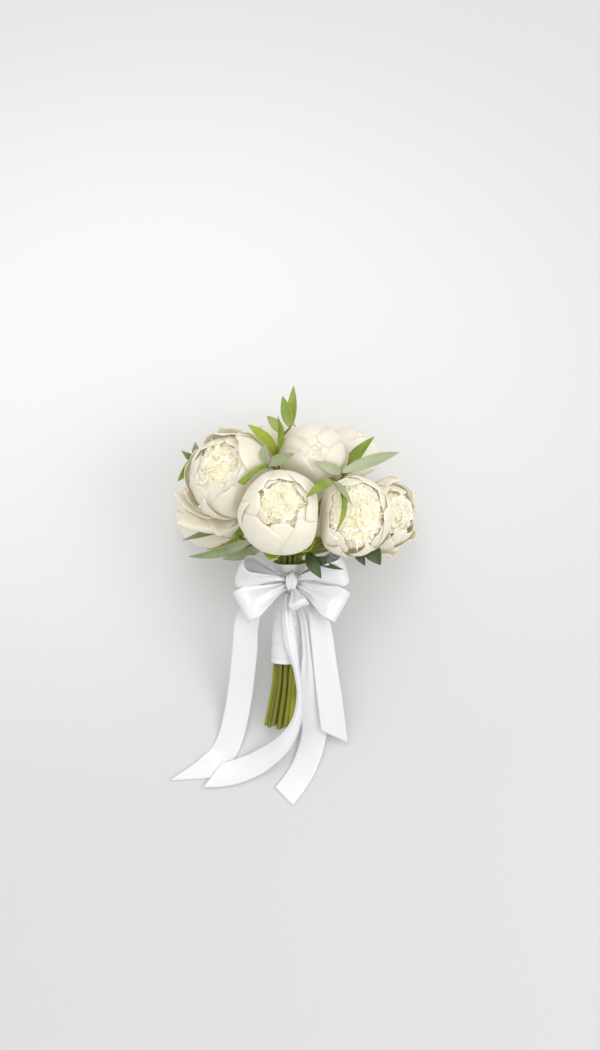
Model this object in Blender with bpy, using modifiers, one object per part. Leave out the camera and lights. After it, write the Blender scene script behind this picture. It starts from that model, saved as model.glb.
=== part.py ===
"""A hand-tied bouquet of nine white peonies with olive, ruscus and peony leaves, lying on its back.

The stems are bound with florist's tape, wrapped in satin ribbon and finished with a double bow.
Sizes in the tables are millimetres in the bouquet's own frame: x to the right, y along the stems
from the cut ends to the flowers, z out of the bouquet's front. One empty lays that frame down.
"""

import math
import random

import bmesh
import bpy
import numpy as np
from mathutils import Matrix, Vector

MM = 0.001

# How the bouquet lies: on two flowers at its back and on its cut stems.
LIE_TILT = math.radians(22.0)
CUT_END = Vector((-0.9, -130.7, 14.4))

VIEW_TILT = math.radians(10.0)

# The handle: nineteen stems packed in a hexagon.
STEM_PITCH = 5.6
FLOWER_STEM_R = 2.6
LEAF_STEM_R = 2.2
WRAP_BOTTOM = 72.0
WRAP_TOP = 184.0
NECK = 190.0
NECK_LEAN = 1.6
HANDLE_LEAN = 0.04
CUT_SHIFT = 5.0
CUT_SPREAD = 0.24
TAPE_BOTTOM = 84.0
TAPE_TOP = 176.0
TAPE_INNER_R = 14.15
TAPE_OUTER_R = 14.9
WRAP_INNER_R = 15.2
WRAP_OUTER_R = 16.3
WRAP_FLARE = 2.5
STEM_STEP = 7.0

# The blades: petals and leaves are thin sheets, and neighbours keep this far apart.
PETAL_THICK = 0.9
LEAF_THICK = 0.8
RIBBON_THICK = 0.8
PETAL_LEAN = 0.8
PETAL_RUFFLE = 0.4
GAP = 0.3
PRESS_DEPTH = 9.0
GROUND_PRESS_DEPTH = 2.5
GROUND_GIVE = 1.2
STEM_CLEAR = 1.1
STEM_GROUND_CLEAR = 3.0
LEAF_GROUND_CLEAR = 1.2
SETTLE_TURNS = 160
SMOOTH_TURNS = 120
SLIVER_ANGLE = math.radians(6.0)

# The flowers: centre of the ball, its radius, the way it faces, its kind and its place in the handle.
FLOWERS = {
    "left_open": ((-66, 281, 18), 47, (-0.22, 0.60, 0.77), "open", 13),
    "front": ((-9, 250, 62), 47, (0.03, 0.50, 0.86), "bowl", 10),
    "top": ((26, 305, 18), 35, (0.06, 0.34, 0.94), "bud", 0),
    "right": ((67, 243, 47), 44, (0.20, 0.40, 0.89), "cup", 8),
    "far_right": ((101, 231, -30), 41, (0.76, 0.20, 0.62), "open", 18),
    "top_right": ((66, 294, -42), 33, (0.52, 0.78, -0.34), "bud", 6),
    "top_left": ((-14, 305, -37), 32, (-0.10, 0.97, -0.20), "bud", 4),
    "back_left": ((-86, 230, -66), 43, (-0.66, 0.62, -0.42), "round", 15),
    "back_right": ((34, 228, -67.5), 41, (0.30, 0.66, -0.69), "round", 16),
}

# Each kind of flower: rings of petals as count, inset from the ball, the angles round the ball at
# which a petal starts and ends, half width as a share of the radius and flare at the tip, then the
# core's inset. The first ring grows from the receptacle and the others from the core.
KINDS = {
    "bowl": ([(4, 1.8, 9, 136, 0.84, 0), (4, 6, 60, 148, 0.66, 0), (4, 9, 90, 154, 0.40, 1)], 13),
    "cup": ([(4, 1.8, 9, 118, 0.82, 1), (4, 6, 55, 132, 0.64, 0), (4, 9, 85, 146, 0.40, 1)], 13),
    "bud": ([(3, 1.8, 9, 142, 1.05, 0), (3, 5.6, 60, 158, 0.80, 0)], 10),
    "round": ([(4, 1.8, 9, 134, 0.84, 0), (4, 6, 60, 148, 0.62, 0)], 11),
    "open": ([(5, 1.8, 9, 98, 0.68, 7), (4, 6, 50, 138, 0.72, 0), (4, 10, 88, 150, 0.40, 1)], 14),
}
PETAL_CLEAR = 0.8
PETAL_ROOT = 1.6
SEPAL_ROOM = 1.7
CORE_RELIEF = 4.0
RECEPTACLE_R = 9.5
RECEPTACLE_RISE = 5.0
COLLAR_R = 6.0
COLLAR_LONG = 2.4
SEPAL_CLEAR = 1.9
SEPAL_FLARE_FROM = 0.45
# Each flower's sepals: the way each points as seen from the front in degrees, how far round the ball
# it reaches, its width, and how far its tip stands off.
SEPALS = {
    "left_open": [(150, 60, 9, 0), (330, 66, 9, 0), (240, 58, 8, 0)],
    "front": [(316, 80, 17, 3.4), (258, 62, 12, 2.4), (60, 60, 9, 0), (170, 52, 8, 0)],
    "top": [(200, 62, 9, 0), (330, 60, 9, 0), (90, 56, 9, 0)],
    "right": [(250, 62, 9, 0), (10, 60, 9, 0), (120, 58, 9, 0)],
    "far_right": [(0, 50, 9, 0), (240, 54, 9, 0), (120, 54, 9, 0)],
    "top_right": [(0, 66, 9, 0), (120, 64, 9, 0), (240, 60, 9, 0)],
    "top_left": [(60, 46, 8, 0), (150, 98, 9, 1.0), (300, 60, 9, 0)],
    "back_left": [(0, 56, 9, 0), (120, 56, 9, 0), (240, 56, 9, 0)],
    "back_right": [(0, 56, 9, 0), (120, 56, 9, 0), (240, 56, 9, 0)],
}
LEAF_CLEAR = 3.3
TWIG_END_R = 1.2
LEAF_ROWS = (0.0, 0.28, 0.62, 1.0)

# Each spray: its place in the handle, its stem's way above the wrap, and its leaves as tip, the way
# the upper face looks, half width, arch, and how far along the stem it grows (1 is the end).
SPRAYS = {
    "ruscus_top": {
        "place": 3,
        "route": [(-17, 268, 18), (-17, 300, 27), (-6, 322, 24), (3, 332, 17)],
        "leaves": [
            ((-8, 369, 12), (0.1, -0.2, 1.0), 5.6, 4.0, 0.97),
            ((4, 380, 8), (-0.2, -0.1, 1.0), 4.8, -2.0, 1.0),
            ((-25, 347, 10), (0.0, 0.4, 1.0), 5.0, 3.0, 0.92),
            ((-13, 351, 36), (0.5, 0.0, 0.85), 3.8, 6.0, 0.66),
            ((-46, 336, 0), (0.4, 0.4, 0.8), 7.0, 8.0, 0.6),
        ],
    },
    "olive_centre": {
        "place": 11,
        "route": [(-30, 256, 26), (-31, 280, 44)],
        "leaves": [
            ((-25, 322, 42), (-0.6, 0.0, 0.8), 6.4, 5.0, 1.0),
            ((5, 313, 56), (-0.2, 0.3, 0.9), 6.0, 3.0, 1.0),
            ((-50, 281, 72), (-0.5, 0.3, 0.9), 5.0, 2.0, 0.9),
        ],
    },
    "ruscus_right": {
        "place": 2,
        "route": [(33, 262, 24), (43, 280, 52), (46, 284, 64)],
        "leaves": [
            ((17, 272, 100), (0.3, 0.7, 0.8), 5.2, 6.0, 1.0),
            ((49, 234, 98), (0.8, 0.2, 0.6), 4.8, 13.0, 1.0),
            ((66, 263, 90), (0.2, 0.6, 0.8), 3.4, 4.0, 0.95),
        ],
    },
    "olive_right": {
        "place": 1,
        "route": [(42, 258, 4), (52, 276, 26), (56, 286, 40)],
        "leaves": [
            ((26, 304, 56), (0.0, 0.2, 1.0), 5.6, 5.0, 1.0),
            ((119, 306, 4), (0.2, 0.4, 1.0), 6.0, 7.0, 1.0),
            ((88, 302, 24), (0.1, 0.6, 0.8), 5.4, 4.0, 0.86),
            ((92, 325, 14), (-0.4, 0.5, 0.8), 7.0, 5.0, 0.74),
        ],
    },
    "peony_leaf_right": {
        "place": 7,
        "route": [(34, 200, 2), (62, 203, 4), (86, 211, 6)],
        "leaves": [
            ((99, 184, 20), (0.2, -0.3, 1.0), 9.0, 5.0, 1.0),
            ((113, 219, 12), (0.2, -0.6, 0.9), 7.0, 4.0, 0.9),
            ((82, 183, 20), (0.2, -0.4, 1.0), 5.5, 4.0, 0.8),
        ],
    },
    "peony_leaf_low": {
        "place": 9,
        "route": [(13, 199, 22), (19, 200, 34)],
        "leaves": [
            ((34, 174, 47), (0.2, -0.3, 1.0), 6.4, 4.0, 1.0),
            ((58, 184, 46), (0.1, -0.5, 1.0), 3.6, 4.0, 0.9),
            ((44, 203, 62), (0.0, -0.8, 0.7), 7.0, 4.0, 1.0),
        ],
    },
    "olive_left": {
        "place": 12,
        "route": [(-24, 206, 14), (-38, 214, 20)],
        "leaves": [
            ((-111, 192, 12), (0.1, -0.4, 1.0), 5.8, 8.0, 1.0),
            ((-76, 203, -4), (0.1, -0.5, 1.0), 7.0, 4.0, 0.6),
            ((-74, 188, 6), (0.0, -0.4, 1.0), 6.0, 4.0, 0.8),
        ],
    },
    "ruscus_left": {
        "place": 14,
        "route": [(-36, 212, -8), (-84, 236, -20), (-108, 262, -34), (-101, 294, -34)],
        "leaves": [
            ((-123, 272, -8), (-0.3, -0.2, 1.0), 5.5, 3.0, 1.0),
            ((-119, 305, -16), (-0.2, -0.2, 1.0), 4.4, 4.0, 1.0),
            ((-104, 313, -26), (-0.2, 0.2, 1.0), 4.0, 3.0, 1.0),
            ((-118, 208, 2), (-0.3, 0.2, 1.0), 3.8, 4.0, 0.45),
        ],
    },
    "ruscus_back": {
        "place": 5,
        "route": [(-3, 224, -28), (-15, 245, -58), (-22, 262, -76)],
        "leaves": [
            ((-46, 292, -72), (0.0, 0.2, -1.0), 6.5, 4.0, 1.0),
            ((-6, 300, -80), (0.2, 0.2, -1.0), 6.0, 4.0, 1.0),
        ],
    },
    "olive_back": {
        "place": 17,
        "route": [(30, 202, -24), (60, 210, -46), (76, 222, -62)],
        "leaves": [
            ((100, 256, -74), (0.3, 0.0, -1.0), 6.0, 4.0, 1.0),
            ((74, 268, -86), (0.0, 0.2, -1.0), 6.0, 4.0, 1.0),
            ((94, 198, -50), (0.2, -0.5, -0.8), 6.0, 4.0, 0.9),
        ],
    },
}

# The ribbon: a knot on the front of the wrap, loops and tails.
KNOT_CENTRE = (2, 166, 21.7)
KNOT_SIZE = (7.5, 9.0, 5.5)
# Loops: start at the knot, the way out, the way through the loop's hole, length, height, half width.
LOOPS = {
    "upper_left": ((-4.8, 170.1, 21.8), (-0.95, 0.18, 0.24), (-0.20, 0.72, 0.66), 53, 26, 13.0),
    "lower_left": ((-5.1, 161.5, 21.1), (-0.88, -0.40, 0.22), (-0.40, 0.88, -0.25), 55, 20, 14.0),
    "upper_right": ((8.7, 170.5, 21.8), (0.95, 0.24, 0.18), (0.20, 0.90, 0.38), 54, 24, 13.0),
    "lower_right": ((9.3, 161.9, 21.1), (0.87, -0.42, 0.25), (0.45, 0.85, -0.25), 55, 22, 14.0),
    "middle": ((5.2, 158.1, 23.4), (0.30, -0.80, 0.52), (0.90, 0.10, 0.40), 22, 14, 8.0),
}
LOOP_ROWS = 10
# Tails: points as x, how far up the picture, and height over the ground, with the half width there,
# and how far the cut at the end is skewed.
TAILS = {
    "left": (
        [(-9, 150, 86.5, 3), (-30, 140, 82.6, 8), (-46, 120, 73, 13), (-50, 83, 51, 14),
         (-54, 46, 28, 14), (-60, 9, 10, 14), (-70, -24, 1.3, 14), (-87, -44, 1.3, 14),
         (-108, -60, 1.3, 14)], 22.0),
    "front": (
        [(-3, 147, 87.2, 3), (-3, 120, 80.7, 6), (1, 91, 71.4, 6.5), (7, 64, 62, 3.5), (11, 37, 53, 3.5),
         (8, 9, 42, 5), (-6, -18, 26, 9), (-33, -40, 8, 13), (-62, -52, 2.9, 14),
         (-86, -55, 2.9, 14)], -12.0),
    "middle": (
        [(6, 146, 85.6, 3), (15, 118, 75.6, 4), (19, 83, 61, 5), (21, 46, 44, 10), (26, 9, 22, 14),
         (25, -18, 6, 14), (12, -53, 1.3, 14), (-7, -79, 1.3, 14)], -2.0),
    "right": (
        [(12, 149, 82.5, 3), (27, 137, 82.1, 9), (34, 105, 72.6, 12), (39, 64, 54.1, 13), (44, 27, 36, 14),
         (49, -13, 13, 14)], -10.0),
}


def clear_scene():
    for obj in list(bpy.data.objects):
        bpy.data.objects.remove(obj, do_unlink=True)


def material(name, colour, roughness):
    mat = bpy.data.materials.new(name)
    mat.use_nodes = True
    shader = mat.node_tree.nodes["Principled BSDF"]
    shader.inputs["Base Color"].default_value = (*colour, 1.0)
    shader.inputs["Roughness"].default_value = roughness
    shader.inputs["Metallic"].default_value = 0.0
    return mat


def smooth_path(points, count):
    """A Catmull-Rom curve through the points, read at an even number of places."""
    pts = [Vector(p) for p in points]
    ends = [pts[0] * 2 - pts[1], *pts, pts[-1] * 2 - pts[-2]]
    out = []
    for i in range(count):
        t = i / (count - 1) * (len(pts) - 1)
        k = min(int(t), len(pts) - 2)
        t -= k
        a, b, c, d = ends[k : k + 4]
        out.append(
            0.5 * (2 * b + (c - a) * t + (2 * a - 5 * b + 4 * c - d) * t**2 + (3 * b - a - 3 * c + d) * t**3)
        )
    return out


def turned_to(direction, about=0.0):
    """A rotation that takes +Z to the direction, after a turn about it."""
    return Vector(direction).to_track_quat("Z", "Y").to_matrix() @ Matrix.Rotation(about, 3, "Z")


def hexagon_places():
    """Nineteen places: one in the middle, six round it and twelve round those."""
    places = [(0.0, 0.0)]
    for ring, count in ((1, 6), (2, 12)):
        for k in range(count):
            angle = math.tau * k / count
            off_corner = (k % 2) if ring == 2 else 0
            reach = ring * STEM_PITCH * (math.cos(math.pi / 6) if off_corner else 1.0)
            places.append((reach * math.cos(angle), reach * math.sin(angle)))
    return places


def axis_x(along):
    """The handle leans a little, and its cut ends swing further to the left."""
    below = max(0.0, WRAP_BOTTOM - along) / WRAP_BOTTOM
    return -HANDLE_LEAN * (WRAP_TOP - along) - CUT_SHIFT * below**2


def handle_route(place):
    """A stem's points inside the handle, from its cut end to the top of the wrap."""
    x, z = hexagon_places()[place]
    cut = 2.0 * math.sin(place * 2.4)
    route = []
    for along in (cut, 0.5 * WRAP_BOTTOM, WRAP_BOTTOM, NECK):
        below = max(0.0, WRAP_BOTTOM - along) / WRAP_BOTTOM
        spread = 1 + CUT_SPREAD * below**1.5
        route.append(Vector((axis_x(along) + x * spread, along, z * spread)))
    return route


def settle(routes, flowers):
    """Moves the stems' free points off the flowers, off each other and off the ground."""
    spots = [p for route in routes for p in route["points"]]
    where = np.array([tuple(p) for p in spots])
    reach = np.array([r for route in routes for r in route["radii"]])
    group = np.array([k for k, route in enumerate(routes) for _ in route["points"]])
    free = np.array([f for route in routes for f in route["free"]])
    own = [route["flower"] for route in routes]
    apart = reach[:, None] + reach[None, :] + STEM_CLEAR
    apart[group[:, None] == group[None, :]] = 0.0
    tilt = np.array((0.0, math.sin(LIE_TILT), math.cos(LIE_TILT)))
    for turn in range(SETTLE_TURNS):
        if turn < SMOOTH_TURNS:
            middle = free.copy()
            middle[1:] &= group[1:] == group[:-1]
            middle[:-1] &= group[:-1] == group[1:]
            middle[0] = middle[-1] = False
            even = where.copy()
            even[1:-1] = 0.25 * (where[:-2] + where[2:]) + 0.5 * where[1:-1]
            where[middle] = even[middle]
        for flower in flowers:
            off = where - np.array(flower.centre)
            far = np.linalg.norm(off, axis=1)
            clear = flower.bulk + LEAF_CLEAR + reach
            near = free & (far < clear)
            near &= np.array([own[k] != flower.name for k in group])
            where[near] += off[near] * ((clear - far)[near] / far[near])[:, None]
        gaps = where[:, None, :] - where[None, :, :]
        far = np.linalg.norm(gaps, axis=2)
        np.fill_diagonal(far, 1e9)
        push = np.clip(apart - far, 0, None) * 0.5
        move = (gaps / far[:, :, None] * push[:, :, None]).sum(axis=1)
        where[free] += move[free]
        low = STEM_GROUND_CLEAR + reach - (CUT_END.z + where @ tilt)
        sunk = free & (low > 0)
        where[sunk] += tilt * low[sunk][:, None]
    at = 0
    for route in routes:
        route["points"] = [Vector(p) for p in where[at : at + len(route["points"])]]
        at += len(route["points"])


class Flower:
    """One flower's place: a ball that its petals lie in, and the frame they are made in."""

    def __init__(self, name, centre, radius, faces, kind, place):
        self.name = name
        self.centre = Vector(centre)
        self.radius = radius
        self.faces = Vector(faces).normalized()
        self.kind = kind
        self.place = place
        self.height = radius
        self.bulk = radius + max(0, KINDS[kind][0][0][5] - 2)
        self.base = self.centre - self.faces * self.height
        self.turn = turned_to(self.faces)
        self.walls = []

    def to_bouquet(self, point):
        return self.base + self.turn @ point

    def clock(self, degrees):
        """The turn about the flower's axis of a blade that points this way as seen from the front."""
        seen_way = Vector((math.cos(math.radians(degrees)), math.sin(math.radians(degrees)), 0))
        way = self.turn.transposed() @ seen_way
        return math.atan2(way.y, way.x)

    def press(self, point, clear):
        """Bends a point back from the planes it would cross into a neighbour or the ground."""
        for _ in range(2):
            for normal, reach, give in self.walls:
                limit = reach - clear
                depth = (point - self.centre).dot(normal)
                start = limit - give
                if depth > start:
                    soft = limit - give * math.exp((start - depth) / give)
                    point = point + normal * (soft - depth)
        return point


def ground_height(point):
    """How far a point of the bouquet's frame lies above the ground."""
    return CUT_END.z + point.y * math.sin(LIE_TILT) + point.z * math.cos(LIE_TILT)


def make_walls(flowers):
    """Planes between each pair of flowers that press together, and the ground's plane."""
    down = Vector((0, -math.sin(LIE_TILT), -math.cos(LIE_TILT)))
    for one in flowers:
        for other in flowers:
            apart = other.centre - one.centre
            if other is one or apart.length > one.bulk + other.bulk + 6:
                continue
            reach = (apart.length_squared + one.radius**2 - other.radius**2) / (2 * apart.length)
            one.walls.append((apart.normalized(), reach - GAP, PRESS_DEPTH))
        one.walls.append((down, ground_height(one.centre) + GROUND_GIVE, GROUND_PRESS_DEPTH))


def petal_point(flower, ring, turn, u, v, ruffle=0.0, phase=0.0):
    """A point of a petal's middle surface: u runs across it from -1 to 1, v from base to tip."""
    _, inset, start, wrap, width, flare = ring
    angle = math.radians(start + (wrap - start) * v * (1 - 0.16 * u * u * v))
    rooted = inset if start < 20 else KINDS[flower.kind][1] + PETAL_ROOT
    rise = min(1.0, v / 0.45)
    layer = rooted + (inset - rooted) * rise * rise * (3 - 2 * rise)
    ball = flower.radius - layer - 0.6 + PETAL_LEAN * u + flare * v**3
    ball += ruffle * math.sin(math.pi * (1.5 * u + phase)) * v * v
    broad = 0.09 + 0.91 * math.sin(math.pi / 2 * min(1.0, v / 0.62)) ** 0.9
    broad *= 1 - 0.22 * max(0.0, (v - 0.75) / 0.25) ** 2
    beta = width * flower.radius * broad * u / ball
    middle = Vector((math.sin(angle) * math.cos(turn), math.sin(angle) * math.sin(turn), -math.cos(angle)))
    across = Vector((-math.sin(turn), math.cos(turn), 0))
    point = Vector((0, 0, flower.height)) + ball * (middle * math.cos(beta) + across * math.sin(beta))
    room = SEPAL_ROOM * max(0.0, min(1.0, (math.pi / 2 - angle) / 0.45))
    return flower.press(flower.to_bouquet(point), PETAL_CLEAR + room)


def blade_object(name, rows, thick):
    """A closed thin blade from rows of points on its middle surface. A row may be one point."""
    bm = bmesh.new()
    made = [[bm.verts.new(p * MM) for p in row] for row in rows]
    for low, high in zip(made, made[1:]):
        if len(high) == 1:
            for k in range(len(low) - 1):
                bm.faces.new((low[k], low[k + 1], high[0]))
        else:
            for k in range(len(low) - 1):
                bm.faces.new((low[k], low[k + 1], high[k + 1], high[k]))
    bmesh.ops.triangulate(bm, faces=bm.faces)
    mesh = bpy.data.meshes.new(name)
    bm.to_mesh(mesh)
    bm.free()
    obj = bpy.data.objects.new(name, mesh)
    bpy.context.scene.collection.objects.link(obj)
    solid = obj.modifiers.new("thickness", "SOLIDIFY")
    solid.thickness = thick * MM
    solid.offset = 0.0
    return obj


def as_mesh(obj):
    """The object's evaluated mesh as a plain object, with a curve's caps welded."""
    graph = bpy.context.evaluated_depsgraph_get()
    mesh = bpy.data.meshes.new_from_object(obj.evaluated_get(graph))
    made = bpy.data.objects.new(obj.name + "_mesh", mesh)
    made.matrix_world = obj.matrix_world
    bpy.data.objects.remove(obj, do_unlink=True)
    bm = bmesh.new()
    bm.from_mesh(mesh)
    bmesh.ops.remove_doubles(bm, verts=bm.verts, dist=0.01 * MM)
    bmesh.ops.recalc_face_normals(bm, faces=bm.faces)
    bm.to_mesh(mesh)
    bm.free()
    return made


def joined(name, pieces):
    """One body from many pieces: a Boolean union on a collection, applied."""
    group = bpy.data.collections.new(name + "_pieces")
    bpy.context.scene.collection.children.link(group)
    made = [as_mesh(piece) for piece in pieces]
    body = made[0]
    bpy.context.scene.collection.objects.link(body)
    for piece in made[1:]:
        group.objects.link(piece)
    union = body.modifiers.new("union", "BOOLEAN")
    union.operation = "UNION"
    union.operand_type = "COLLECTION"
    union.collection = group
    union.solver = "MANIFOLD"
    bpy.context.view_layer.update()
    graph = bpy.context.evaluated_depsgraph_get()
    mesh = bpy.data.meshes.new_from_object(body.evaluated_get(graph))
    for piece in made:
        bpy.data.objects.remove(piece, do_unlink=True)
    bpy.data.collections.remove(group)
    mesh.name = name
    result = bpy.data.objects.new(name, mesh)
    bpy.context.scene.collection.objects.link(result)
    return result


def keep_largest(obj):
    """Drops loose scraps, so that the node stays one body."""
    bm = bmesh.new()
    bm.from_mesh(obj.data)
    seen, groups = set(), []
    for face in bm.faces:
        if face in seen:
            continue
        group, todo = [], [face]
        seen.add(face)
        while todo:
            f = todo.pop()
            group.append(f)
            for edge in f.edges:
                for near in edge.link_faces:
                    if near not in seen:
                        seen.add(near)
                        todo.append(near)
        groups.append(group)
    groups.sort(key=len)
    for group in groups[:-1]:
        bmesh.ops.delete(bm, geom=group, context="FACES")
    bmesh.ops.delete(bm, geom=[v for v in bm.verts if not v.link_faces], context="VERTS")
    bm.to_mesh(obj.data)
    bm.free()


def finish(obj, mat, parent, smooth=True):
    keep_largest(obj)
    obj.data.materials.clear()
    obj.data.materials.append(mat)
    if smooth:
        obj.data.shade_smooth()
        obj.data.set_sharp_from_angle(angle=math.radians(50))
    obj.parent = parent
    for held_in in list(obj.users_collection):
        held_in.objects.unlink(obj)
    bpy.data.collections["bouquet"].objects.link(obj)


def core_object(flower, inset):
    """The crumpled heart: a ball with a relief of folds, deepest where the petals part."""
    bm = bmesh.new()
    bmesh.ops.create_uvsphere(bm, u_segments=10, v_segments=6, radius=1.0)
    ball = flower.radius - inset
    for vert in bm.verts:
        way = vert.co.normalized()
        turn = math.atan2(way.y, way.x)
        up = 0.5 + 0.5 * way.z
        fold = math.sin(5 * turn + 4 * way.z) * math.sin(9 * way.z + 2 * turn)
        local = Vector((0, 0, flower.height)) + way * (ball + CORE_RELIEF * fold * up)
        vert.co = flower.press(flower.to_bouquet(local), 2 * PETAL_CLEAR) * MM
    mesh = bpy.data.meshes.new("core")
    bm.to_mesh(mesh)
    bm.free()
    obj = bpy.data.objects.new("core", mesh)
    bpy.context.scene.collection.objects.link(obj)
    return obj


def receptacle_object(flower):
    """The green-white cup that the petals grow from, flat where the stem meets it."""
    bm = bmesh.new()
    tall = KINDS[flower.kind][1] + RECEPTACLE_RISE
    bmesh.ops.create_cone(
        bm, cap_ends=True, segments=10, radius1=0.76 * RECEPTACLE_R, radius2=RECEPTACLE_R, depth=tall
    )
    for vert in bm.verts:
        local = vert.co + Vector((0, 0, 0.7 + tall / 2))
        vert.co = flower.press(flower.to_bouquet(local), PETAL_CLEAR + SEPAL_ROOM) * MM
    mesh = bpy.data.meshes.new("receptacle")
    bm.to_mesh(mesh)
    bm.free()
    obj = bpy.data.objects.new("receptacle", mesh)
    bpy.context.scene.collection.objects.link(obj)
    return obj


def flower_object(flower, mat, parent):
    """Rings of petals over a crumpled core, all grown from one receptacle."""
    draw = random.Random(flower.name)
    rings, core_inset = KINDS[flower.kind]
    pieces = [core_object(flower, core_inset), receptacle_object(flower)]
    for level, (count, inset, first, wrap, width, flare) in enumerate(rings):
        columns, steps = (3 if count > 4 else 4, 3) if level == 0 else (2, 2)
        for k in range(count):
            turn = math.tau * (k + 0.5 * level) / count + draw.uniform(-0.12, 0.12) + 0.4
            ring = (count, inset, first, wrap * draw.uniform(0.95, 1.04), width * draw.uniform(0.93, 1.04), flare)
            phase = draw.uniform(0, 2)
            rows = []
            for j in range(steps + 1):
                row = []
                for i in range(columns + 1):
                    u, v = 2 * i / columns - 1, j / steps
                    row.append(petal_point(flower, ring, turn, u, v, PETAL_RUFFLE, phase))
                rows.append(row)
            pieces.append(blade_object("petal", rows, PETAL_THICK))
    obj = joined("bloom_" + flower.name, pieces)
    bm = bmesh.new()
    bm.from_mesh(obj.data)
    bmesh.ops.dissolve_limit(bm, angle_limit=SLIVER_ANGLE, verts=bm.verts, edges=bm.edges)
    bmesh.ops.triangulate(bm, faces=bm.faces)
    bm.to_mesh(obj.data)
    bm.free()
    finish(obj, mat, parent)


def tube_object(name, points, radii, roundness):
    """A round tube through the points, as a bevelled poly curve with closed ends."""
    curve = bpy.data.curves.new(name, "CURVE")
    curve.dimensions = "3D"
    curve.bevel_depth = MM
    curve.bevel_resolution = roundness
    curve.use_fill_caps = True
    spline = curve.splines.new("POLY")
    spline.points.add(len(points) - 1)
    for spot, point, radius in zip(spline.points, points, radii):
        spot.co = (*(point * MM), 1.0)
        spot.radius = radius
    obj = bpy.data.objects.new(name, curve)
    bpy.context.scene.collection.objects.link(obj)
    return obj


def sepal_rows(flower, way, reach, width, flare):
    """A sepal hugging the underside of the flower, clear of its outer petals."""
    rows = []
    turn = flower.clock(way)
    for j in range(4):
        v = j / 3
        off = max(0.0, v - SEPAL_FLARE_FROM) / (1 - SEPAL_FLARE_FROM)
        ball = flower.radius + SEPAL_CLEAR + flare * off
        angle = math.radians(3 + (reach - 3) * v)
        middle = Vector((math.sin(angle) * math.cos(turn), math.sin(angle) * math.sin(turn), -math.cos(angle)))
        across = Vector((-math.sin(turn), math.cos(turn), 0))
        half = width * math.sin(math.pi * (0.12 + 0.86 * v)) ** 0.8
        sides = (-1, 0, 1) if j < 3 else (0,)
        row = []
        for u in sides:
            beta = half * u / ball
            local = Vector((0, 0, flower.height)) + ball * (middle * math.cos(beta) + across * math.sin(beta))
            row.append(flower.press(flower.to_bouquet(local), 0.7))
        rows.append(row)
    return rows


def flower_route(flower):
    """A flower's stem from its cut end to its flower, as points with radii for settle()."""
    start = handle_route(flower.place)
    x, z = hexagon_places()[flower.place]
    top = flower.base - flower.faces * (GAP + COLLAR_LONG / 2)
    rise = (top - start[-1]).length
    lead = start[-1] + Vector((NECK_LEAN * x, 0.45 * rise, NECK_LEAN * z))
    near = top - flower.faces * min(26.0, 0.4 * rise)
    count = max(6, round(rise / STEM_STEP))
    points = list(start)
    for k in range(1, count + 1):
        t = k / count
        points.append(
            start[-1] * (1 - t) ** 3 + 3 * lead * t * (1 - t) ** 2 + 3 * near * t * t * (1 - t) + top * t**3
        )
    free = [False] * len(start) + [True] * (count - 2) + [False] * 2
    return {"points": points, "radii": [FLOWER_STEM_R] * len(points), "free": free, "flower": flower.name,
            "kept": len(start)}


def spray_route(spray):
    """A leafy stem from its cut end to its last leaves, as points with radii for settle()."""
    start = handle_route(spray["place"])
    through = [start[-1] - Vector((0, 20, 0)), start[-1], *(Vector(p) for p in spray["route"])]
    length = sum((b - a).length for a, b in zip(through[1:], through[2:]))
    count = max(5, round(length / STEM_STEP))
    above = smooth_path(through, 4 * (count + 20))
    above = [p for p in above if p.y > NECK + 2 or (p - start[-1]).length > 12]
    points = start + [above[round(k * (len(above) - 1) / count)] for k in range(1, count + 1)]
    taper = [LEAF_STEM_R + (TWIG_END_R - LEAF_STEM_R) * k / count for k in range(1, count + 1)]
    free = [False] * len(start) + [True] * count
    return {"points": points, "radii": [LEAF_STEM_R] * len(start) + taper, "free": free, "flower": None,
            "kept": len(start)}


def thinned(route):
    """Every point in the handle and every other one above it, to keep the tube light."""
    last = len(route["points"]) - 1
    keep = [k for k in range(last + 1) if k < route["kept"] or k == last or (last - k) % 2 == 0]
    return [route["points"][k] for k in keep], [route["radii"][k] for k in keep]


def flower_stem_object(flower, route, mat, parent):
    """The stem from its cut end to the flower, with the calyx of sepals at its top."""
    points, radii = thinned(route)
    pieces = [tube_object("stem", points, radii, 2)]
    bm = bmesh.new()
    bmesh.ops.create_cone(bm, cap_ends=True, segments=8, radius1=2.0, radius2=COLLAR_R, depth=COLLAR_LONG)
    collar = flower.base - flower.faces * (GAP + COLLAR_LONG / 2)
    for vert in bm.verts:
        vert.co = flower.press(collar + flower.turn @ vert.co, PETAL_CLEAR) * MM
    mesh = bpy.data.meshes.new("collar")
    bm.to_mesh(mesh)
    bm.free()
    cone = bpy.data.objects.new("collar", mesh)
    bpy.context.scene.collection.objects.link(cone)
    pieces.append(cone)
    for sepal in SEPALS[flower.name]:
        pieces.append(blade_object("sepal", sepal_rows(flower, *sepal), LEAF_THICK))
    finish(joined("stem_" + flower.name, pieces), mat, parent)


def keep_off(point, flowers, clear):
    """Moves a point out of every flower's ball and over the ground."""
    for _ in range(8):
        for flower in flowers:
            off = point - flower.centre
            if off.length < flower.bulk + clear:
                point = flower.centre + off * ((flower.bulk + clear) / off.length)
        height = ground_height(point)
        if height < LEAF_GROUND_CLEAR:
            upright = Vector((0, math.sin(LIE_TILT), math.cos(LIE_TILT)))
            point = point + upright * (LEAF_GROUND_CLEAR - height)
    return point


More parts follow.
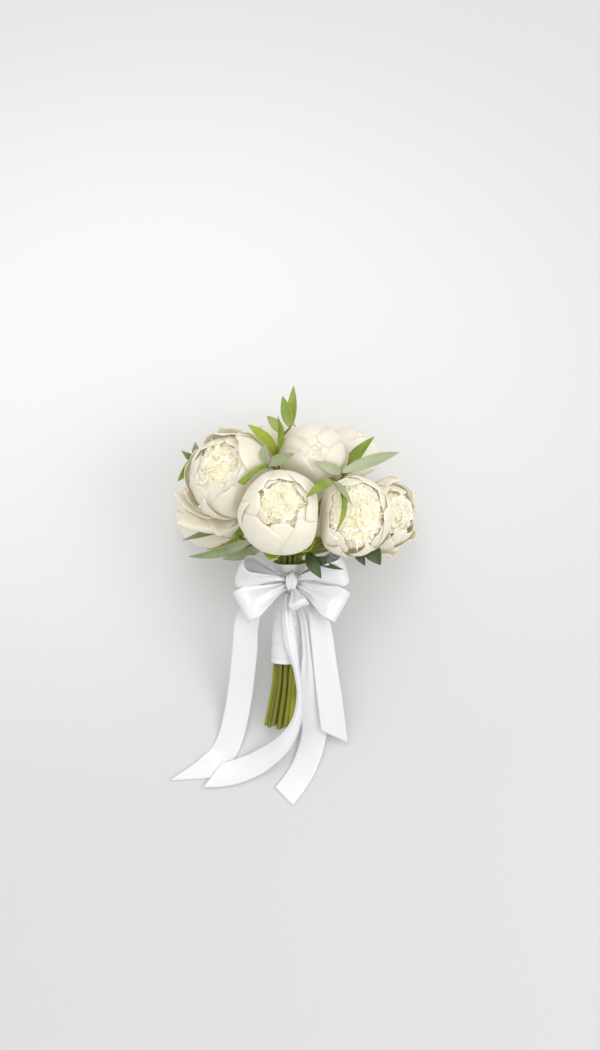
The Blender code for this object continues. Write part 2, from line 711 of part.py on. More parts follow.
def leaf_rows(base, tip, up, half, arch, flowers):
    """A pointed leaf's middle surface, folded a little along its midrib and arched."""
    along = tip - base
    side = along.cross(up).normalized()
    rise = side.cross(along).normalized()
    rows = []
    for j, v in enumerate(LEAF_ROWS):
        middle = base + along * v + rise * (arch * 4 * v * (1 - v))
        broad = half * max(0.0, math.sin(math.pi * v**0.85)) ** 0.9 + 0.9 * (1 - v)
        row = []
        for u in (-1, 0, 1) if v < 1 else (0,):
            point = middle + side * (u * broad) + rise * (0.28 * broad * abs(u))
            row.append(keep_off(point, flowers, LEAF_CLEAR) if j > 0 else point)
        rows.append(row)
    return rows


def spray_object(name, spray, route, flowers, mat, parent):
    """A leafy stem with its leaves."""
    points, radii = thinned(route)
    pieces = [tube_object("twig", points, radii, 1)]
    above = points[route["kept"] - 1 :]
    for order, (tip, up, half, arch, at) in enumerate(spray["leaves"]):
        base = above[round(at * (len(above) - 1))]
        base = base + (Vector(tip) - base).normalized() * (0.3 * order)
        rows = leaf_rows(base, Vector(tip), Vector(up), half, arch, flowers)
        pieces.append(blade_object("leaf", rows, LEAF_THICK))
    finish(joined("spray_" + name, pieces), mat, parent)


def sleeve_object(name, low, high, rounds, mat, parent):
    """A tube round the handle, made as a thick tube less its bore."""
    inner, outer, flare = rounds

    def points(from_y, to_y):
        spots = [from_y + (to_y - from_y) * share for share in (0, 0.85, 1)]
        return [Vector((axis_x(along), along, 0)) for along in spots]

    body = tube_object(name, points(low, high), [outer, outer, outer + flare], 6)
    bore = tube_object("bore", points(low - 3, high + 3), [inner, inner, inner + flare], 6)
    body, bore = as_mesh(body), as_mesh(bore)
    bpy.context.scene.collection.objects.link(body)
    bpy.context.scene.collection.objects.link(bore)
    cut = body.modifiers.new("bore", "BOOLEAN")
    cut.operation = "DIFFERENCE"
    cut.object = bore
    cut.solver = "MANIFOLD"
    bpy.context.view_layer.update()
    mesh = bpy.data.meshes.new_from_object(body.evaluated_get(bpy.context.evaluated_depsgraph_get()))
    bpy.data.objects.remove(bore, do_unlink=True)
    bpy.data.objects.remove(body, do_unlink=True)
    mesh.name = name
    obj = bpy.data.objects.new(name, mesh)
    bpy.context.scene.collection.objects.link(obj)
    finish(obj, mat, parent)


def solid_strip(name, rows, mat, parent):
    obj = as_mesh(blade_object(name, rows, RIBBON_THICK))
    obj.name = name
    bpy.context.scene.collection.objects.link(obj)
    finish(obj, mat, parent)


def loop_rows(start, out, through, length, height, half):
    """A bow's loop: out from the knot, round and back, gathered narrow at both ends."""
    out, through = Vector(out).normalized(), Vector(through)
    through = (through - out * through.dot(out)).normalized()
    across = through.cross(out)
    if across.z > 0:
        across = -across
    rows = []
    for k in range(LOOP_ROWS + 1):
        t = k / LOOP_ROWS
        reach = length * math.sin(math.pi * t) ** 0.75
        gap = 0.5 * height * math.sin(math.tau * t) * (0.35 + 0.65 * math.sin(math.pi * t))
        spot = Vector(start) + out * reach + across * (gap + 1.6 * math.cos(math.pi * t))
        broad = half * (0.26 + 0.74 * min(1.0, math.sin(math.pi * t) * 1.25))
        rows.append([spot + through * (u * broad) + across * (0.8 * (1 - u * u)) for u in (-1, 0, 1)])
    return rows


def seen(x, up, height):
    """A point of the bouquet's frame from its place in the picture and its height over the ground."""
    lean = LIE_TILT - VIEW_TILT
    drop = height - CUT_END.z
    away = (up - drop * math.sin(lean)) / math.cos(lean)
    world = Vector((x, away, drop))
    return Matrix.Rotation(-LIE_TILT, 3, "X") @ world


def tail_rows(points, skew):
    """A ribbon's tail: a strip along the points, cut off at a slant."""
    path = smooth_path([seen(*p[:3]) for p in points], round(1.7 * len(points)))
    upright = Vector((0, math.sin(LIE_TILT), math.cos(LIE_TILT)))
    rows = []
    for k, spot in enumerate(path):
        t = k / (len(path) - 1)
        ahead = path[min(k + 1, len(path) - 1)] - path[max(k - 1, 0)]
        side = ahead.cross(upright).normalized()
        at = t * (len(points) - 1)
        low = min(int(at), len(points) - 2)
        half = points[low][3] + (points[low + 1][3] - points[low][3]) * (at - low)
        slant = ahead.normalized() * (skew * max(0.0, t - 0.7) / 0.3)
        rows.append([spot + side * (u * half) + slant * u for u in (-1, 0, 1)])
    return rows


def knot_object(mat, parent):
    bpy.ops.mesh.primitive_uv_sphere_add(segments=12, ring_count=6, radius=MM)
    obj = bpy.context.object
    obj.name = "bow_knot"
    for vert in obj.data.vertices:
        way = vert.co / MM
        pinch = 1 - 0.16 * math.cos(2.2 * way.y) ** 8
        vert.co = (Vector(KNOT_CENTRE) + Vector(way[k] * KNOT_SIZE[k] * pinch for k in range(3))) * MM
    finish(obj, mat, parent)


def main():
    clear_scene()
    collection = bpy.data.collections.new("bouquet")
    bpy.context.scene.collection.children.link(collection)
    lying = bpy.data.objects.new("bouquet_frame", None)
    lying.location = CUT_END * MM
    lying.rotation_euler = (LIE_TILT, 0, 0)
    collection.objects.link(lying)
    petal = material("ivory_petal", (0.90, 0.88, 0.80), 0.55)
    stem = material("green_stem", (0.33, 0.42, 0.08), 0.5)
    ruscus = material("green_leaf", (0.16, 0.30, 0.04), 0.4)
    olive = material("grey_green_leaf", (0.33, 0.38, 0.24), 0.55)
    dark = material("dark_leaf", (0.06, 0.14, 0.04), 0.45)
    satin = material("white_satin", (0.93, 0.93, 0.94), 0.35)
    tape = material("green_tape", (0.20, 0.32, 0.16), 0.7)
    leaf_kinds = {"ruscus": ruscus, "olive": olive, "peony": dark}

    flowers = [Flower(name, *facts) for name, facts in FLOWERS.items()]
    make_walls(flowers)
    stems = [flower_route(flower) for flower in flowers]
    twigs = [spray_route(spray) for spray in SPRAYS.values()]
    settle(stems + twigs, flowers)
    for flower, route in zip(flowers, stems):
        flower_object(flower, petal, lying)
        flower_stem_object(flower, route, stem, lying)
    for (name, spray), route in zip(SPRAYS.items(), twigs):
        spray_object(name, spray, route, flowers, leaf_kinds[name.split("_")[0]], lying)
    sleeve_object("binding_tape", TAPE_BOTTOM, TAPE_TOP, (TAPE_INNER_R, TAPE_OUTER_R, 0.0), tape, lying)
    wrap = (WRAP_INNER_R, WRAP_OUTER_R, WRAP_FLARE)
    sleeve_object("wrap_ribbon", WRAP_BOTTOM, WRAP_TOP, wrap, satin, lying)
    knot_object(satin, lying)
    for name, facts in LOOPS.items():
        solid_strip("bow_loop_" + name, loop_rows(*facts), satin, lying)
    for name, (points, skew) in TAILS.items():
        solid_strip("ribbon_tail_" + name, tail_rows(points, skew), satin, lying)


main()
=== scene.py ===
"""A hand-tied bouquet of nine white peonies with leafy sprays, its stems wrapped in satin ribbon.

It lies on its back on a pale floor and the camera looks down on it. The sections follow the way a
florist puts it together: the stems and their flowers, the leaves, the tape, the wrap and the bow.
"""

import math
import random

import bpy
import numpy as np
from mathutils import Matrix, Vector


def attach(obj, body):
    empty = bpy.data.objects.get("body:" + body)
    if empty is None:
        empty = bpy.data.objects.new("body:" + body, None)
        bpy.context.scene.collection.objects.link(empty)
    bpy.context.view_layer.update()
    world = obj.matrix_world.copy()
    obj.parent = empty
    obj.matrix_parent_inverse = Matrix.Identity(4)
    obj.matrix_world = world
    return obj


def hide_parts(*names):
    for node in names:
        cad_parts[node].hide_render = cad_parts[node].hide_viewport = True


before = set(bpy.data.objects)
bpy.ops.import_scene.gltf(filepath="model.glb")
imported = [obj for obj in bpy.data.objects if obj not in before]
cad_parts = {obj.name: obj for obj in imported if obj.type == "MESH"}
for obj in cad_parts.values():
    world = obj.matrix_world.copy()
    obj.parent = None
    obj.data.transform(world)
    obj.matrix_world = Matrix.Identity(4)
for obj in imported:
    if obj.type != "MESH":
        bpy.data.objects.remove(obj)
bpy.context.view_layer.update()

bpy.ops.object.select_all(action="DESELECT")

# ---------------------------------------------------------------- camera, light and floor
# A long lens looks straight along the photograph's line of sight, which stands 10 degrees off the
# front of the upright bouquet. The bouquet lies back by 22 degrees, so the camera is 78 degrees up.
MM = 0.001
LIE_TILT = math.radians(22.0)
CUT_END = np.array((-0.9, -130.7, 14.4))
CAMERA_TILT = math.radians(12.0)
CAMERA_REACH = 3.9
PICTURE_TALL = 1.1623
PICTURE_MIDDLE = (11.0, 221.4)
SENSOR_TALL = 36.0
FLOOR_WIDE = 9.0

toward_camera = Vector((0, -math.sin(CAMERA_TILT), math.cos(CAMERA_TILT)))
picture_up = Vector((0, math.cos(CAMERA_TILT), math.sin(CAMERA_TILT)))
aside, above = PICTURE_MIDDLE
aim = Vector(CUT_END) * MM + Vector((aside * MM, 0, 0)) + picture_up * above * MM
lens = bpy.data.cameras.new("camera")
lens.sensor_fit = "VERTICAL"
lens.sensor_height = SENSOR_TALL
lens.lens = SENSOR_TALL * CAMERA_REACH / PICTURE_TALL
lens.clip_end = 20.0
camera = bpy.data.objects.new("camera", lens)
camera.location = aim + toward_camera * CAMERA_REACH
camera.rotation_euler = (CAMERA_TILT, 0, 0)
bpy.context.scene.collection.objects.link(camera)
bpy.context.scene.camera = camera

bpy.context.scene.view_settings.view_transform = "Standard"


def add_node(nodes, kind, values=None, **settings):
    """A shader node with its settings and the values of its free inputs."""
    node = nodes.new("ShaderNode" + kind)
    for name, setting in settings.items():
        setattr(node, name, setting)
    for socket, value in (values or {}).items():
        node.inputs[socket].default_value = value
    return node


def join(links, *steps):
    """Links shader nodes, each step from a node's output to another's input."""
    for source, output, target, socket in steps:
        links.new(source.outputs[output], target.inputs[socket])


# The dome is a little brighter overhead than at the horizon.
world = bpy.data.worlds.new("studio")
bpy.context.scene.world = world
world.use_nodes = True
dome, joins = world.node_tree.nodes, world.node_tree.links
over = add_node(dome, "TexCoord")
height = add_node(dome, "SeparateXYZ")
sky = add_node(dome, "MapRange", {"From Min": 0.0, "From Max": 1.0, "To Min": 0.95, "To Max": 1.18})
join(
    joins, (over, "Generated", height, "Vector"), (height, "Z", sky, "Value"),
    (sky, "Result", dome["Background"], "Strength"),
)
dome["Background"].inputs["Color"].default_value = (0.985, 0.99, 1.0, 1)


def softbox(name, place, size, power, colour):
    """A square studio light that looks at the bouquet."""
    light = bpy.data.lights.new(name, "AREA")
    light.size = size
    light.energy = power
    light.color = colour
    obj = bpy.data.objects.new(name, light)
    obj.location = place
    obj.rotation_euler = (aim - Vector(place)).to_track_quat("-Z", "Y").to_euler()
    bpy.context.scene.collection.objects.link(obj)


softbox("key", (-0.2, 0.9, 2.5), 0.9, 9.0, (1.0, 0.98, 0.94))
softbox("fill", (1.6, -0.3, 1.9), 1.5, 18.0, (1.0, 0.99, 0.97))

# The floor is pale paper with a wide painted pool of light behind the bouquet, which fades towards the edges.
bpy.ops.mesh.primitive_plane_add(size=FLOOR_WIDE, location=(0, 0, 0))
floor = bpy.context.object
floor.name = "floor"
paint = bpy.data.materials.new("floor_paper")
paint.use_nodes = True
sweep, joins = paint.node_tree.nodes, paint.node_tree.links
surface = sweep["Principled BSDF"].inputs
surface["Roughness"].default_value = 0.75
# Painted light: the floor glows a little of its own, which lifts the shade round the bouquet.
surface["Emission Color"].default_value = (1, 1, 1, 1)
surface["Emission Strength"].default_value = 0.10
ground = add_node(sweep, "TexCoord")
shift = add_node(sweep, "Mapping", vector_type="TEXTURE")
shift.inputs["Location"].default_value = (-0.20, 0.30, 0.0)
shift.inputs["Scale"].default_value = (0.60, 0.42, 1.0)
off = add_node(sweep, "VectorMath", operation="LENGTH")
fade = add_node(sweep, "MapRange", {"From Min": 0.1, "From Max": 1.35}, interpolation_type="SMOOTHSTEP")
# Painted light: the pool of light, bright behind the bouquet and darker towards the edges, is mixed into the
# floor's colour.
painted_light_pool = add_node(sweep, "Mix", {"A": (0.62, 0.62, 0.617, 1), "B": (0.475, 0.475, 0.473, 1)}, data_type="RGBA")
join(
    joins, (ground, "Object", shift, "Vector"), (shift, "Vector", off, 0), (off, "Value", fade, "Value"),
    (fade, "Result", painted_light_pool, "Factor"),
)
joins.new(painted_light_pool.outputs["Result"], surface["Base Color"])
floor.data.materials.append(paint)
floor.select_set(False)

# ---------------------------------------------------------------- the stems in the hand
# Nineteen stems lie packed in the handle: nine carry flowers and ten carry leaves. Each runs from its
# cut end through the wrap, spreads at the neck, and bends clear of the flowers that it passes.
STEM_PITCH = 5.6
FLOWER_STEM_R = 2.6
LEAF_STEM_R = 2.2
TWIG_END_R = 1.2
WRAP_BOTTOM = 72.0
WRAP_TOP = 184.0
NECK = 190.0
CUT_UNEVEN = 2.0
NECK_LEAN = 1.6
HANDLE_LEAN = 0.04
CUT_SHIFT = 5.0
CUT_SPREAD = 0.24
STEM_STEP = 7.0
STEM_CLEAR = 1.1
STEM_GROUND_CLEAR = 3.0
SETTLE_TURNS = 160
SMOOTH_TURNS = 120
LEAF_CLEAR = 3.3
GAP = 0.3
PETAL_CLEAR = 0.8
FLOOR_CLEAR = 1.2
NEIGHBOUR_REACH = 6
PRESS_DEPTH = 9.0
FLOOR_PRESS_DEPTH = 2.5
COLLAR_LONG = 2.4

# The flowers: centre of the ball, its radius, the way it faces, how far its outer petals spread and
# its place in the handle. Millimetres in the bouquet's own frame: x right, y along the stems, z front.
FLOWERS = {
    "left_open": ((-66, 281, 18), 47, (-0.22, 0.60, 0.77), 5, 13),
    "front": ((-9, 250, 62), 47, (0.03, 0.50, 0.86), 0, 10),
    "top": ((26, 305, 18), 35, (0.06, 0.34, 0.94), 0, 0),
    "right": ((67, 243, 47), 44, (0.20, 0.40, 0.89), 1, 8),
    "far_right": ((101, 231, -30), 41, (0.76, 0.20, 0.62), 6, 18),
    "top_right": ((66, 294, -42), 33, (0.52, 0.78, -0.34), 0, 6),
    "top_left": ((-14, 305, -37), 32, (-0.10, 0.97, -0.20), 0, 4),
    "back_left": ((-86, 230, -66), 43, (-0.66, 0.62, -0.42), 0, 15),
    "back_right": ((34, 228, -67.5), 41, (0.30, 0.66, -0.69), 0, 16),
}
# The leafy stems: place in the handle and the way above the wrap.
TWIGS = {
    "ruscus_top": (3, [(-17, 268, 18), (-17, 300, 27), (-6, 322, 24), (3, 332, 17)]),
    "olive_centre": (11, [(-30, 256, 26), (-31, 280, 44)]),
    "ruscus_right": (2, [(33, 262, 24), (43, 280, 52), (46, 284, 64)]),
    "olive_right": (1, [(42, 258, 4), (52, 276, 26), (56, 286, 40)]),
    "peony_leaf_right": (7, [(34, 200, 2), (62, 203, 4), (86, 211, 6)]),
    "peony_leaf_low": (9, [(13, 199, 22), (19, 200, 34)]),
    "olive_left": (12, [(-24, 206, 14), (-38, 214, 20)]),
    "ruscus_left": (14, [(-36, 212, -8), (-84, 236, -20), (-108, 262, -34), (-101, 294, -34)]),
    "ruscus_back": (5, [(-3, 224, -28), (-15, 245, -58), (-22, 262, -76)]),
    "olive_back": (17, [(30, 202, -24), (60, 210, -46), (76, 222, -62)]),
}


class Flower:
    """One flower's place: a ball that its petals lie in, and the frame they are made in."""

    def __init__(self, name, centre, radius, faces, flare, place):
        self.name = name
        self.centre = Vector(centre)
        self.radius = radius
        self.faces = Vector(faces).normalized()
        self.bulk = radius + max(0, flare - 2)
        self.place = place
        self.base = self.centre - self.faces * radius
        self.turn = self.faces.to_track_quat("Z", "Y").to_matrix()
        self.walls = []

    def to_bouquet(self, points):
        """Points of the flower's own frame, whose origin is its base, in the bouquet's frame."""
        return np.array(self.base) + points @ np.array(self.turn).T

    def press(self, points, clear):
        """Bends points back from the planes they would cross into a neighbour or the floor."""
        for _ in range(2):
            for normal, reach, give in self.walls:
                limit = reach - clear
                depth = (points - np.array(self.centre)) @ normal
                start = limit - give
                over = np.maximum(depth - start, 0)
                soft = start + give * (1 - np.exp(-over / give))
                points = points + normal * np.where(depth > start, soft - depth, 0)[..., None]
        return points

    def clock(self, degrees):
        """The turn about the flower's axis of a petal that points this way in the picture."""
        angle = math.radians(degrees)
        way = self.turn.transposed() @ Vector((math.cos(angle), math.sin(angle), 0))
        return math.atan2(way.y, way.x)


def ground_height(point):
    """How high a point of the bouquet's frame lies over the floor, in millimetres."""
    return CUT_END[2] + point[1] * math.sin(LIE_TILT) + point[2] * math.cos(LIE_TILT)


flowers = {name: Flower(name, *facts) for name, facts in FLOWERS.items()}
for one in flowers.values():
    for other in flowers.values():
        apart = other.centre - one.centre
        if other is one or apart.length > one.bulk + other.bulk + NEIGHBOUR_REACH:
            continue
        reach = (apart.length_squared + one.radius**2 - other.radius**2) / (2 * apart.length)
        one.walls.append((np.array(apart.normalized()), reach - GAP, PRESS_DEPTH))
    down = np.array((0, -math.sin(LIE_TILT), -math.cos(LIE_TILT)))
    one.walls.append((down, ground_height(one.centre) + FLOOR_CLEAR, FLOOR_PRESS_DEPTH))


def hexagon_places():
    """Nineteen places: one in the middle, six round it and twelve round those."""
    places = [(0.0, 0.0)]
    for ring, count in ((1, 6), (2, 12)):
        for k in range(count):
            angle = math.tau * k / count
            off_corner = (k % 2) if ring == 2 else 0
            reach = ring * STEM_PITCH * (math.cos(math.pi / 6) if off_corner else 1.0)
            places.append((reach * math.cos(angle), reach * math.sin(angle)))
    return places


def axis_x(along):
    """The handle leans a little, and its cut ends swing further to the left."""
    below = max(0.0, WRAP_BOTTOM - along) / WRAP_BOTTOM
    return -HANDLE_LEAN * (WRAP_TOP - along) - CUT_SHIFT * below**2


def handle_route(place):
    """A stem's points inside the handle, from its cut end to the top of the wrap."""
    x, z = hexagon_places()[place]
    cut = CUT_UNEVEN * math.sin(place * 2.4)
    route = []
    for along in (cut, 0.5 * WRAP_BOTTOM, WRAP_BOTTOM, NECK):
        below = max(0.0, WRAP_BOTTOM - along) / WRAP_BOTTOM
        spread = 1 + CUT_SPREAD * below**1.5
        route.append(Vector((axis_x(along) + x * spread, along, z * spread)))
    return route


def smooth_path(points, count):
    """A Catmull-Rom curve through the points, read at an even number of places."""
    pts = [Vector(p) for p in points]
    ends = [pts[0] * 2 - pts[1], *pts, pts[-1] * 2 - pts[-2]]
    out = []
    for i in range(count):
        t = i / (count - 1) * (len(pts) - 1)
        k = min(int(t), len(pts) - 2)
        t -= k
        a, b, c, d = ends[k : k + 4]
        bend, twist = 2 * a - 5 * b + 4 * c - d, 3 * b - a - 3 * c + d
        out.append(0.5 * (2 * b + (c - a) * t + bend * t**2 + twist * t**3))
    return out


def flower_route(flower):
    """A flower's stem from its cut end to its flower."""
    start = handle_route(flower.place)
    x, z = hexagon_places()[flower.place]
    top = flower.base - flower.faces * (GAP + COLLAR_LONG / 2)
    rise = (top - start[-1]).length
    lead = start[-1] + Vector((NECK_LEAN * x, 0.45 * rise, NECK_LEAN * z))
    near = top - flower.faces * min(26.0, 0.4 * rise)
    count = max(6, round(rise / STEM_STEP))
    points = list(start)
    for k in range(1, count + 1):
        t = k / count
        points.append(
            start[-1] * (1 - t) ** 3 + 3 * lead * t * (1 - t) ** 2 + 3 * near * t * t * (1 - t) + top * t**3
        )
    free = [False] * len(start) + [True] * (count - 2) + [False] * 2
    radii = [FLOWER_STEM_R] * len(points)
    return {"points": points, "radii": radii, "free": free, "flower": flower.name, "kept": len(start)}


def spray_route(place, way):
    """A leafy stem from its cut end to its last leaves."""
    start = handle_route(place)
    through = [start[-1] - Vector((0, 20, 0)), start[-1], *(Vector(p) for p in way)]
    length = sum((b - a).length for a, b in zip(through[1:], through[2:]))
    count = max(5, round(length / STEM_STEP))
    above = smooth_path(through, 4 * (count + 20))
    above = [p for p in above if p.y > NECK + 2 or (p - start[-1]).length > 12]
    points = start + [above[round(k * (len(above) - 1) / count)] for k in range(1, count + 1)]
    taper = [LEAF_STEM_R + (TWIG_END_R - LEAF_STEM_R) * k / count for k in range(1, count + 1)]
    free = [False] * len(start) + [True] * count
    radii = [LEAF_STEM_R] * len(start) + taper
    return {"points": points, "radii": radii, "free": free, "flower": None, "kept": len(start)}


def settle(routes):
    """Moves the stems' free points off the flowers, off each other and off the floor."""
    where = np.array([tuple(p) for route in routes for p in route["points"]])
    reach = np.array([r for route in routes for r in route["radii"]])
    group = np.array([k for k, route in enumerate(routes) for _ in route["points"]])
    free = np.array([f for route in routes for f in route["free"]])
    own = [route["flower"] for route in routes]
    apart = reach[:, None] + reach[None, :] + STEM_CLEAR
    apart[group[:, None] == group[None, :]] = 0.0
    tilt = np.array((0.0, math.sin(LIE_TILT), math.cos(LIE_TILT)))
    for turn in range(SETTLE_TURNS):
        if turn < SMOOTH_TURNS:
            middle = free.copy()
            middle[1:] &= group[1:] == group[:-1]
            middle[:-1] &= group[:-1] == group[1:]
            middle[0] = middle[-1] = False
            even = where.copy()
            even[1:-1] = 0.25 * (where[:-2] + where[2:]) + 0.5 * where[1:-1]
            where[middle] = even[middle]
        for flower in flowers.values():
            off = where - np.array(flower.centre)
            far = np.linalg.norm(off, axis=1)
            clear = flower.bulk + LEAF_CLEAR + reach
            near = free & (far < clear)
            near &= np.array([own[k] != flower.name for k in group])
            where[near] += off[near] * ((clear - far)[near] / far[near])[:, None]
        gaps = where[:, None, :] - where[None, :, :]
        far = np.linalg.norm(gaps, axis=2)
        np.fill_diagonal(far, 1e9)
        push = np.clip(apart - far, 0, None) * 0.5
        move = (gaps / far[:, :, None] * push[:, :, None]).sum(axis=1)
        where[free] += move[free]
        low = STEM_GROUND_CLEAR + reach - (CUT_END[2] + where @ tilt)
        sunk = free & (low > 0)
        where[sunk] += tilt * low[sunk][:, None]
    at = 0
    for route in routes:
        route["points"] = [Vector(p) for p in where[at : at + len(route["points"])]]
        at += len(route["points"])


stem_routes = {name: flower_route(flower) for name, flower in flowers.items()}
twig_routes = {name: spray_route(*facts) for name, facts in TWIGS.items()}
settle([*stem_routes.values(), *twig_routes.values()])


def thinned(route):
    """Every point in the handle and every other one above it."""
    last = len(route["points"]) - 1
    keep = [k for k in range(last + 1) if k < route["kept"] or k == last or (last - k) % 2 == 0]
    return [route["points"][k] for k in keep], [route["radii"][k] for k in keep]


def laid(points):
    """Points of the bouquet's frame, in millimetres, where they lie in the room, in metres."""
    p = np.asarray(points, dtype=float)
    y = p[..., 1] * math.cos(LIE_TILT) - p[..., 2] * math.sin(LIE_TILT)
    z = p[..., 1] * math.sin(LIE_TILT) + p[..., 2] * math.cos(LIE_TILT)
    return (np.stack((p[..., 0], y, z), axis=-1) + CUT_END) * MM


def grids_mesh(name, grids, thick, tones=None):
    """Thin blades from grids of points, rows along and columns across, as one object.

    The UV map runs across each blade in u and along it in v. The tone attribute tells blades apart.
    """
    spots, faces, across, shade = [], [], [], []
    at = 0
    for k, grid in enumerate(grids):
        rows, cols = grid.shape[:2]
        spots.append(grid.reshape(-1, 3))
        index = np.arange(rows * cols).reshape(rows, cols) + at
        faces.append(
            np.stack((index[:-1, :-1], index[:-1, 1:], index[1:, 1:], index[1:, :-1]), axis=-1).reshape(-1, 4)
        )
        v, u = np.meshgrid(np.linspace(0, 1, rows), np.linspace(0, 1, cols), indexing="ij")
        across.append(np.stack((u, v), axis=-1).reshape(-1, 2))
        shade.append(np.full(rows * cols, tones[k] if tones else 0.0))
        at += rows * cols
    spots, faces, across = np.concatenate(spots), np.concatenate(faces), np.concatenate(across)
    mesh = bpy.data.meshes.new(name)
    mesh.from_pydata(laid(spots).tolist(), [], faces.tolist())
    uv = mesh.uv_layers.new(name="blade")
    uv.data.foreach_set("uv", across[faces.reshape(-1)].astype(np.float32).reshape(-1))
    tone = mesh.attributes.new("tone", "FLOAT", "POINT")
    tone.data.foreach_set("value", np.concatenate(shade).astype(np.float32))
    obj = bpy.data.objects.new(name, mesh)
    bpy.context.scene.collection.objects.link(obj)
    solid = obj.modifiers.new("thickness", "SOLIDIFY")
    solid.thickness = thick * MM
    solid.offset = 0.0
    bpy.context.view_layer.objects.active = obj
    obj.select_set(True)
    bpy.ops.object.modifier_apply(modifier="thickness")
    obj.data.shade_smooth()
    obj.select_set(False)
    return obj


def round_stem(name, points, radii, shade=0.0, sides=3):
    """A smooth round stem through the points, with closed ends, as a mesh."""
    curve = bpy.data.curves.new(name, "CURVE")
    curve.dimensions = "3D"
    curve.bevel_depth = MM
    curve.bevel_resolution = sides
    curve.use_fill_caps = True
    spline = curve.splines.new("POLY")
    spline.points.add(len(points) - 1)
    for spot, place, radius in zip(spline.points, laid([tuple(p) for p in points]), radii):
        spot.co = (*place, 1.0)
        spot.radius = radius
    obj = bpy.data.objects.new(name, curve)
    bpy.context.scene.collection.objects.link(obj)
    bpy.context.view_layer.objects.active = obj
    obj.select_set(True)
    bpy.ops.object.convert(target="MESH")
    obj = bpy.context.object
    obj.data.shade_smooth()
    tone = obj.data.attributes.new("tone", "FLOAT", "POINT")
    tone.data.foreach_set("value", np.full(len(obj.data.vertices), shade, dtype=np.float32))
    obj.select_set(False)
    return obj


def one_piece(name, parts):
    """Joins a piece's parts into its first."""
    for part in parts:
        part.select_set(True)
    bpy.context.view_layer.objects.active = parts[0]
    bpy.ops.object.join()
    whole = bpy.context.object
    whole.name = name
    whole.select_set(False)
    return whole


def reshape(obj, places):
    """Moves a new primitive's vertices to places in the room and leaves it smooth, with no UV map."""
    obj.data.vertices.foreach_set("co", places.astype(np.float32).reshape(-1))
    obj.data.uv_layers.remove(obj.data.uv_layers[0])
    obj.data.shade_smooth()
    obj.select_set(False)


# What every leaf and petal shares: fine streaks that run from its base to its tip, and soft blotches.
streaks = bpy.data.node_groups.new("blade streaks", "ShaderNodeTree")
for socket, way, kind in (
    ("Dark", "INPUT", "Color"), ("Light", "INPUT", "Color"), ("Streaks", "INPUT", "Float"),
    ("Seed", "INPUT", "Float"), ("Color", "OUTPUT", "Color"), ("Height", "OUTPUT", "Float"),
):
    streaks.interface.new_socket(socket, in_out=way, socket_type="NodeSocket" + kind)
nodes, links = streaks.nodes, streaks.links
entry = nodes.new("NodeGroupInput")
leave = nodes.new("NodeGroupOutput")
blade_map = add_node(nodes, "UVMap", uv_map="blade")
stretch = add_node(nodes, "VectorMath", {1: (14.0, 1.3, 1.0)}, operation="MULTIPLY")
drawn = add_node(nodes, "TexNoise", {"Scale": 1.6, "Detail": 4.0}, noise_dimensions="4D")
clouds = add_node(nodes, "TexNoise", {"Scale": 55.0, "Detail": 2.0})
place = add_node(nodes, "TexCoord")
blend = add_node(nodes, "Math", operation="MULTIPLY_ADD")
ramp = add_node(nodes, "MapRange", {"From Min": 0.32, "From Max": 0.68})
mix = add_node(nodes, "Mix", data_type="RGBA")
scaled = add_node(nodes, "Math", {1: 0.58}, operation="MULTIPLY")
join(
    links, (blade_map, "UV", stretch, 0), (stretch, "Vector", drawn, "Vector"), (entry, "Seed", drawn, "W"),
    (place, "Object", clouds, "Vector"), (drawn, "Fac", blend, 0), (entry, "Streaks", blend, 1),
    (clouds, "Fac", blend, 2), (blend, 0, scaled, 0), (scaled, 0, ramp, "Value"),
    (ramp, "Result", mix, "Factor"), (entry, "Dark", mix, "A"), (entry, "Light", mix, "B"),
    (mix, "Result", leave, "Color"), (drawn, "Fac", leave, "Height"),
)

# Painted light: a petal glows a little, warm, which stands for the light it passes on and lifts the shade in
# its crevices.
PETAL_GLOW = 0.07


